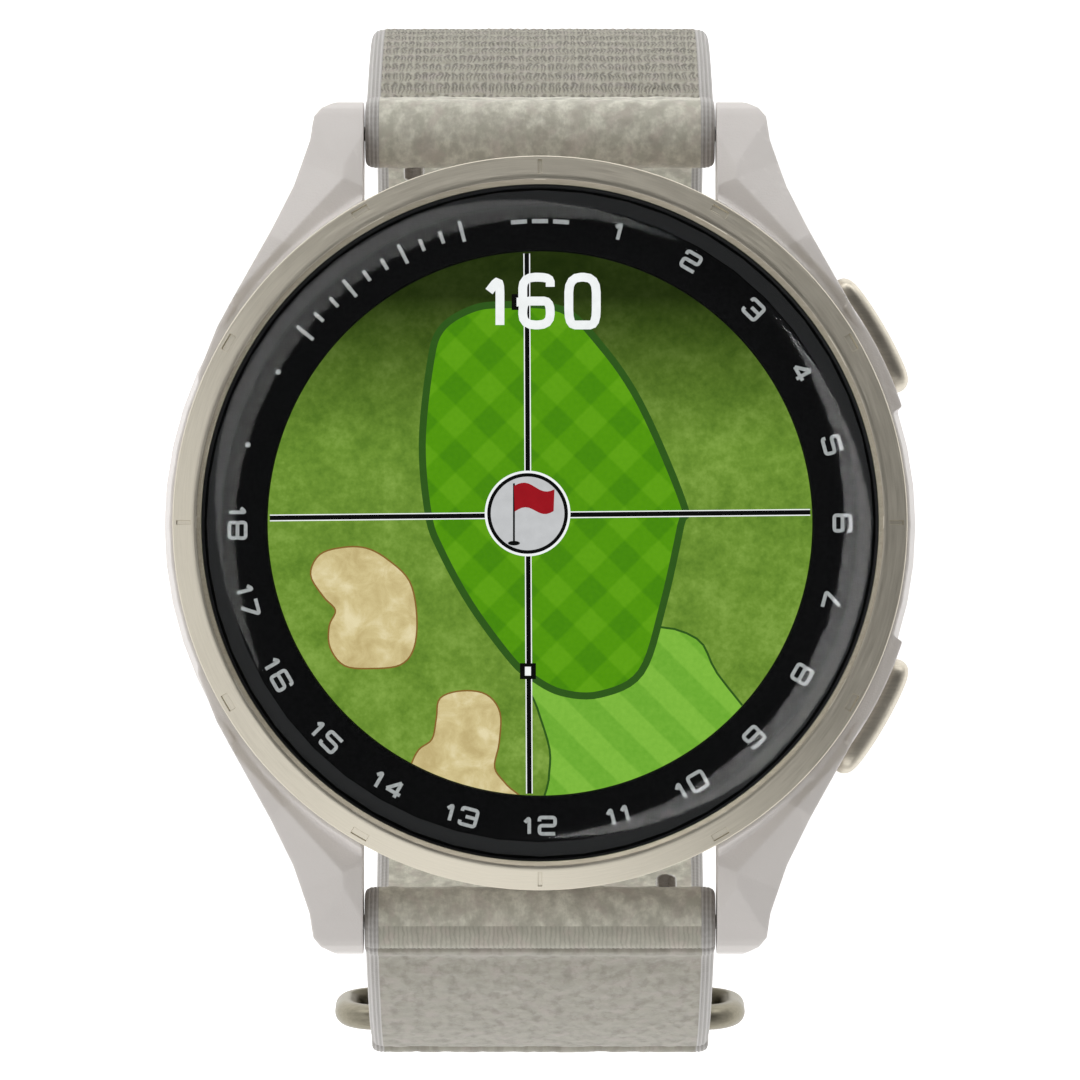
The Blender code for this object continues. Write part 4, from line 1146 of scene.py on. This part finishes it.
def webbing(name, path, body, zone_at, half=HALF_THICKNESS, outer=1, step=0.12, columns=150, ends=(0.5, 0.5),
            v_start=0.0, stands_for=()):
    """A length of strap along a (y, z) path, felt on its inner face.

    Its outer face lies to the path's left, or to its right where outer is -1. zone_at(v) is the weave along
    that face, half is half the thickness, and ends is how full the two ends are.
    """
    line, v = even_path(path, step)
    v = v + v_start
    ways = np.gradient(line, axis=0)
    ways /= np.linalg.norm(ways, axis=1)[:, None]
    normal = np.stack([-ways[:, 1], ways[:, 0]], axis=1) * outer
    u_out = section_columns(columns)
    u_in = section_columns(max(30, columns // 3))[::-1]
    thick = np.full(len(line), float(half)) if np.isscalar(half) else half(v)
    taper = np.ones(len(line))
    for k in range(3):
        taper[k] = min(taper[k], ends[0] + (1 - ends[0]) * k / 3)
        taper[-1 - k] = min(taper[-1 - k], ends[1] + (1 - ends[1]) * k / 3)
    thick = thick * taper
    half_width = WEB_WIDTH / 2

    def side(u, sign, zones):
        uu, vv = np.meshgrid(u, v)
        roundness = (1 - np.clip(np.abs(uu) / half_width, 0, 1) ** 50) ** 0.5
        height = thick[:, None] * roundness + web_face(uu, vv, zones)
        offset = height * sign
        points = np.empty((*uu.shape, 3))
        points[..., 0] = uu
        points[..., 1] = line[:, 0][:, None] + normal[:, 0][:, None] * offset
        points[..., 2] = line[:, 1][:, None] + normal[:, 1][:, None] * offset
        return points, np.stack([uu, vv], axis=-1)

    out_points, out_uv = side(u_out, 1, zone_at)
    in_points, in_uv = side(u_in, -1, everywhere(FELT_ZONE))
    points = np.concatenate([out_points, in_points], axis=1)
    uv = np.concatenate([out_uv, in_uv], axis=1)
    rows, across = points.shape[:2]
    faces = tube_faces(rows, across)
    face_u = np.concatenate([u_out, u_in])
    next_u = np.roll(face_u, -1)
    middle_u = (face_u + next_u) / 2
    is_out = (np.arange(across) < len(u_out))[None, :]
    middle_v = np.repeat((v[:-1] + v[1:])[:, None] / 2, across, axis=1)
    zones = np.where(is_out, zone_at(middle_v), FELT_ZONE)
    edge = np.abs(middle_u) > WEB_WIDTH / 2 - SELVEDGE
    edge |= np.abs(next_u - face_u) < 1e-6
    zones = np.where(edge[None, :], SELVEDGE_ZONE, zones).ravel()
    if outer < 0:
        faces = [f[::-1] for f in faces]
    slots = np.concatenate([zones, [SELVEDGE_ZONE, SELVEDGE_ZONE]])
    mesh = mesh_of(name, points.reshape(-1, 3), faces, slots, uv.reshape(-1, 2))
    strap = show(name, mesh, body, WEB, stands_for)
    return strap


FRONT_PATH = [
    (23.3, 1.1), (25.3, -3.0), (27.6, -9.5), (29.1, -15.5), (29.35, -20.5), (28.6, -27.0),
    (26.2, -33.0), (21.9, -38.4), (15.9, -41.6),
]
BACK_PATH = [
    (15.9, -41.6), (14.7, -42.05), (9.5, -42.55), (4.0, -42.55), (-4.0, -42.55), (-9.0, -42.5),
    (-14.8, -40.8), (-20.2, -36.9), (-23.8, -31.5), (-25.3, -27.0), (-25.52, -24.7),
]
SHORT_PATH = [
    (-23.61, 3.73), (-23.9, 3.0), (-23.82, 1.9), (-23.85, 0.8), (-24.4, -1.0), (-25.5, -3.6), (-27.6, -10.0),
    (-28.75, -15.5), (-28.9, -18.3),
]
TAIL_PATH = [(-29.05, -25.2), (-28.3, -28.6), (-26.3, -33.2), (-22.7, -38.2), (-19.7, -40.8)]


def bend_path(bar, radius, start, end, steps):
    """The strap's way round a bar, at a radius."""
    return [Vector(p) for p in arc(bar, radius, start, end, steps)]


def mirror_y(points):
    return [(-y, z) for y, z in points]


def eye_path(tip):
    """From a flap's tip over the spring bar and down its inner side, on the +Y side."""
    return list(tip) + arc(BAR, EYE_CENTRELINE, 2, 240, 40) + [(22.3, 0.4), (22.9, -0.9)]


def build_strap():
    front = smooth_path(FRONT_PATH, 12)
    cut = len(front) // 2 + 1
    webbing("long_strap_upper_web", front[:cut], "long_strap_front", everywhere(KNIT_ZONE), step=0.11,
            columns=200, ends=(0.5, 1), stands_for=("long_strap_front",))
    length = even_path(front[:cut], 0.11)[1][-1]
    webbing("long_strap_lower_web", front[cut - 1:], "long_strap_front", everywhere(KNIT_ZONE), step=0.13,
            columns=170, ends=(1, 1), v_start=length)
    flap_half = (lambda v: 0.36 + 0.14 * np.clip(v / 1.6, 0, 1))
    webbing("long_strap_flap", smooth_path(eye_path([(24.4, 1.2), (24.22, 2.0)]), 3), "long_strap_front",
            everywhere(FELT_ZONE), half=flap_half, outer=-1, step=0.1, columns=170, ends=(0.35, 0.6))
    back = smooth_path(BACK_PATH, 12) + bend_path(FAR_BAR, FOLD_CENTRELINE, 12, 60, 8)
    strap = webbing("long_strap_back_web", back, None, everywhere(FELT_ZONE), step=0.16, columns=150,
                    half=lambda v: HALF_THICKNESS - 0.3 * np.clip((v - v.max() + 4.5) / 2.5, 0, 1),
                    ends=(1, 1), stands_for=("long_strap_back",))
    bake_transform(strap)
    tail_line = bend_path(FAR_BAR, FOLD_CENTRELINE, 60, 186, 24) + smooth_path(TAIL_PATH, 12)
    tail = webbing("strap_tail_web", tail_line, None, everywhere(KNIT_ZONE), step=0.14, columns=160,
                   half=lambda v: 0.65 + 0.1 * np.clip((v - 4.0) / 2, 0, 1), ends=(1, 0.4), outer=-1,
                   stands_for=("tail",))
    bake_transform(tail)


def build_short_strap():
    path = smooth_path(SHORT_PATH, 12) + bend_path(NEAR_BAR, SHORT_EYE_CENTRELINE, 160, 330, 16)
    full = SHORT_HALF_THICKNESS
    half = (lambda v: np.interp(v, [0, 1.5, 5, 21, 23.5], [0.5, 0.55, full, full, 0.52]))
    webbing("short_strap_web", path, "short_strap", everywhere(DASH_ZONE), half=half, outer=-1, step=0.11,
            columns=190, stands_for=("short_strap",))
    flap_half = (lambda v: 0.4 + 0.1 * np.clip(v / 1.6, 0, 1))
    zones = (lambda v: np.where(np.asarray(v) < 1.3, BAND_ZONE, FELT_ZONE))
    over_bar = arc(BAR, EYE_CENTRELINE + 0.05, 33, 240, 34) + [(22.3, 0.4), (22.9, -0.9)]
    webbing("short_strap_flap", smooth_path(mirror_y(over_bar), 3), "short_strap", zones, half=flap_half,
            outer=1, step=0.1, columns=170, ends=(0.8, 0.6))


def build_ring():
    """A rounded rectangle of round wire that links the two straps."""
    near = Vector((0, *NEAR_BAR))
    far = Vector((0, *FAR_BAR))
    along = (far - near).normalized()
    centre = (near + far) / 2
    reach_x = RING_REACH - RING_CORNER
    reach_u = (far - near).length / 2 - RING_CORNER
    loop = []
    for side_x, side_u, start in ((1, 1, 0), (-1, 1, 90), (-1, -1, 180), (1, -1, 270)):
        loop += arc((side_x * reach_x, side_u * reach_u), RING_CORNER, start, start + 90, 14)
    path = [centre + Vector((x, 0, 0)) + along * u for x, u in loop]
    across = Vector((1, 0, 0)).cross(along).normalized()
    points = []
    for i, point in enumerate(path):
        way = (path[(i + 1) % len(path)] - path[i - 1]).normalized()
        out = way.cross(across).normalized()
        for k in range(WIRE_SIDES):
            a = TURN * k / WIRE_SIDES
            points.append(point + WIRE_RADIUS * (math.cos(a) * out + math.sin(a) * across))
    mesh = welded(mesh_of("link_ring", points, grid_faces(len(path), WIRE_SIDES, True, True)))
    show("link_ring", mesh, "short_strap", [RING_METAL], ("strap_ring",))


def build_tail_parts():
    """The hook patch between the straps and the moulded pull tab at the tail's end."""
    def hooks(u, v):
        return 0.05 * np.cos(u * TURN / HOOK_PITCH) * np.cos(v * TURN / HOOK_PITCH)

    path = smooth_path([(-26.3, -31.0), (-24.3, -34.3), (-21.0, -38.3), (-19.1, -39.9)], 12)
    line, v = even_path(path, 0.12)
    patch = plain_band("hook_pad", line, v, HOOK_WIDTH, 0.25, hooks)
    show("hook_patch", patch, "tail", [BAND], ("hook_pad",))
    path = smooth_path([(-20.3, -40.35), (-19.3, -41.1), (-17.3, -42.3), (-15.6, -42.9)], 12)
    line, v = even_path(path, 0.08)

    def grips(u, v):
        return 0.09 * np.clip(np.cos((v - 2.4) * TURN / 0.9), 0, 1) * (np.abs(u) < 4.8) * (v > 2.1)

    mesh = plain_band("pull_grip", line, v, TAB_WIDTH, 0.3, grips, corner=1.6)
    show("pull_grip", mesh, "tail", [TAB_POLYMER], ("pull_tab",))


def plain_band(name, line, v, width, half, relief, corner=0.0):
    """A flat band along a (y, z) line with a relief on both faces, and its far corners rounded off."""
    ways = np.gradient(line, axis=0)
    ways /= np.linalg.norm(ways, axis=1)[:, None]
    normal = np.stack([-ways[:, 1], ways[:, 0]], axis=1)
    share = np.linspace(-1, 1, 140)
    left = v[-1] - v
    bend = np.sqrt(np.clip(corner ** 2 - (corner - left) ** 2, 0, None))
    inset = np.where(left < corner, corner - bend, 0.0)
    u = share[None, :] * (width / 2 - inset)[:, None]
    vv = np.repeat(v[:, None], len(share), axis=1)
    roundness = np.clip(1 - np.abs(share) ** 40, 0, 1) ** 0.5
    ends = np.clip(np.minimum(v - v[0], left) / 0.25 + 0.35, 0, 1)
    sides = []
    for sign in (1, -1):
        height = (half * roundness[None, :] * ends[:, None] + relief(u, vv) * roundness[None, :]) * sign
        y = line[:, 0][:, None] + normal[:, 0][:, None] * height
        z = line[:, 1][:, None] + normal[:, 1][:, None] * height
        sides.append(np.stack([u, y, z], axis=-1))
    points = np.concatenate([sides[0], sides[1][:, ::-1]], axis=1)
    uv = np.concatenate([np.stack([u, vv], axis=-1), np.stack([u, vv], axis=-1)[:, ::-1]], axis=1)
    rows, across = points.shape[:2]
    mesh = mesh_of(name, points.reshape(-1, 3), tube_faces(rows, across), None, uv.reshape(-1, 2))
    return welded(mesh, 0)


# ---------------------------------------------------------------- studio

def aimed(name, data, place, way):
    """Puts a camera or a lamp at a place in metres, looking along a direction."""
    made = bpy.data.objects.new(name, data)
    made.location = place
    made.rotation_mode = "QUATERNION"
    made.rotation_quaternion = way.to_track_quat("-Z", "Y")
    bpy.context.scene.collection.objects.link(made)
    return made


def add_camera():
    data = bpy.data.cameras.new("camera")
    data.lens = CAMERA_LENS
    data.sensor_width = 36.0
    data.clip_start = 0.01
    back = Vector((0, -math.sin(CAMERA_TILT), math.cos(CAMERA_TILT)))
    place = (CAMERA_AIM + back * CAMERA_DISTANCE) * MM
    bpy.context.scene.camera = aimed("camera", data, place, -back)


def add_lamp(name, clock, elevation, distance, size, brightness):
    """A soft panel lamp. Its clock angle runs clockwise from 12 o'clock, and elevation is above the floor."""
    data = bpy.data.lights.new(name, "AREA")
    data.shape = "RECTANGLE"
    data.size = size[0]
    data.size_y = size[1]
    data.energy = math.pi * size[0] * size[1] * brightness
    c, e = math.radians(clock), math.radians(elevation)
    out = Vector((math.sin(c) * math.cos(e), math.cos(c) * math.cos(e), math.sin(e)))
    return aimed(name, data, out * distance, -out)


def add_studio(lens):
    """A pale floor, a soft grey room and a few large soft lamps, two of which are only for the lens."""
    world = bpy.data.worlds.new("room")
    world.use_nodes = True
    tree = world.node_tree
    way = add(tree, "SeparateXYZ", {0: add(tree, "TexCoord").outputs["Generated"]})
    side = maths(tree, "MULTIPLY_ADD", way.outputs[0], -0.4, maths(tree, "MULTIPLY", way.outputs[1], -0.25))
    lean = maths(tree, "MULTIPLY_ADD", side, 0.4, 0.74, clamp=True)
    ceiling = ramp(tree, way.outputs[2], (0.0, 1.0), (0.5, 1.0), (0.75, 0.3), (0.95, 0.12))
    tree.links.new(maths(tree, "MULTIPLY", lean, ceiling), tree.nodes["Background"].inputs["Color"])
    bpy.context.scene.world = world
    bpy.context.scene.view_settings.view_transform = "Standard"
    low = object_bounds()[0].z
    size = FLOOR_HALF_WIDTH
    corners = [(-size, -size, low), (size, -size, low), (size, size, low), (-size, size, low)]
    mesh = bpy.data.meshes.new("floor")
    mesh.from_pydata(corners, [], [(0, 1, 2, 3)])
    floor = bpy.data.objects.new("floor", mesh)
    bpy.context.scene.collection.objects.link(floor)
    made, tree, link = material("floor", Roughness=0.8, Emission_Strength=0.8)
    cloud = noise(tree, place_mm(tree), 0.02, 3.0)
    tone = ramp(tree, cloud, (0.3, (0.9, 0.9, 0.9)), (0.7, (0.93, 0.93, 0.93)))
    link("Base Color", tone)
    link("Emission Color", tone)
    mesh.materials.append(made)
    floor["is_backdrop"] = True
    around = [
        add_lamp("front", 190, 55, 0.7, (0.5, 0.45), 1.1),
        add_lamp("left", 268, 52, 0.7, (0.42, 0.45), 0.75),
        add_lamp("back", 0, 25, 0.8, (1.4, 0.35), 1.5),
    ]
    on_glass = [
        add_lamp("upper_left_box", 315, 50, 0.7, (0.75, 0.8), 14.0),
        add_lamp("lower_right_box", 112, 50, 0.7, (0.68, 0.8), 26.0),
    ]
    for name, lamps, state in (("all_but_glass", around, "EXCLUDE"), ("only_glass", on_glass, "INCLUDE")):
        group = bpy.data.collections.new(name)
        group.objects.link(lens)
        group.collection_objects[0].light_linking.link_state = state
        for lamp in lamps:
            lamp.light_linking.receiver_collection = group


build_case()
build_bezel()
lens = build_lens()
build_numbers()
build_picture()
build_small_parts()
build_back()
build_strap()
build_short_strap()
build_ring()
build_tail_parts()
add_camera()
add_studio(lens)
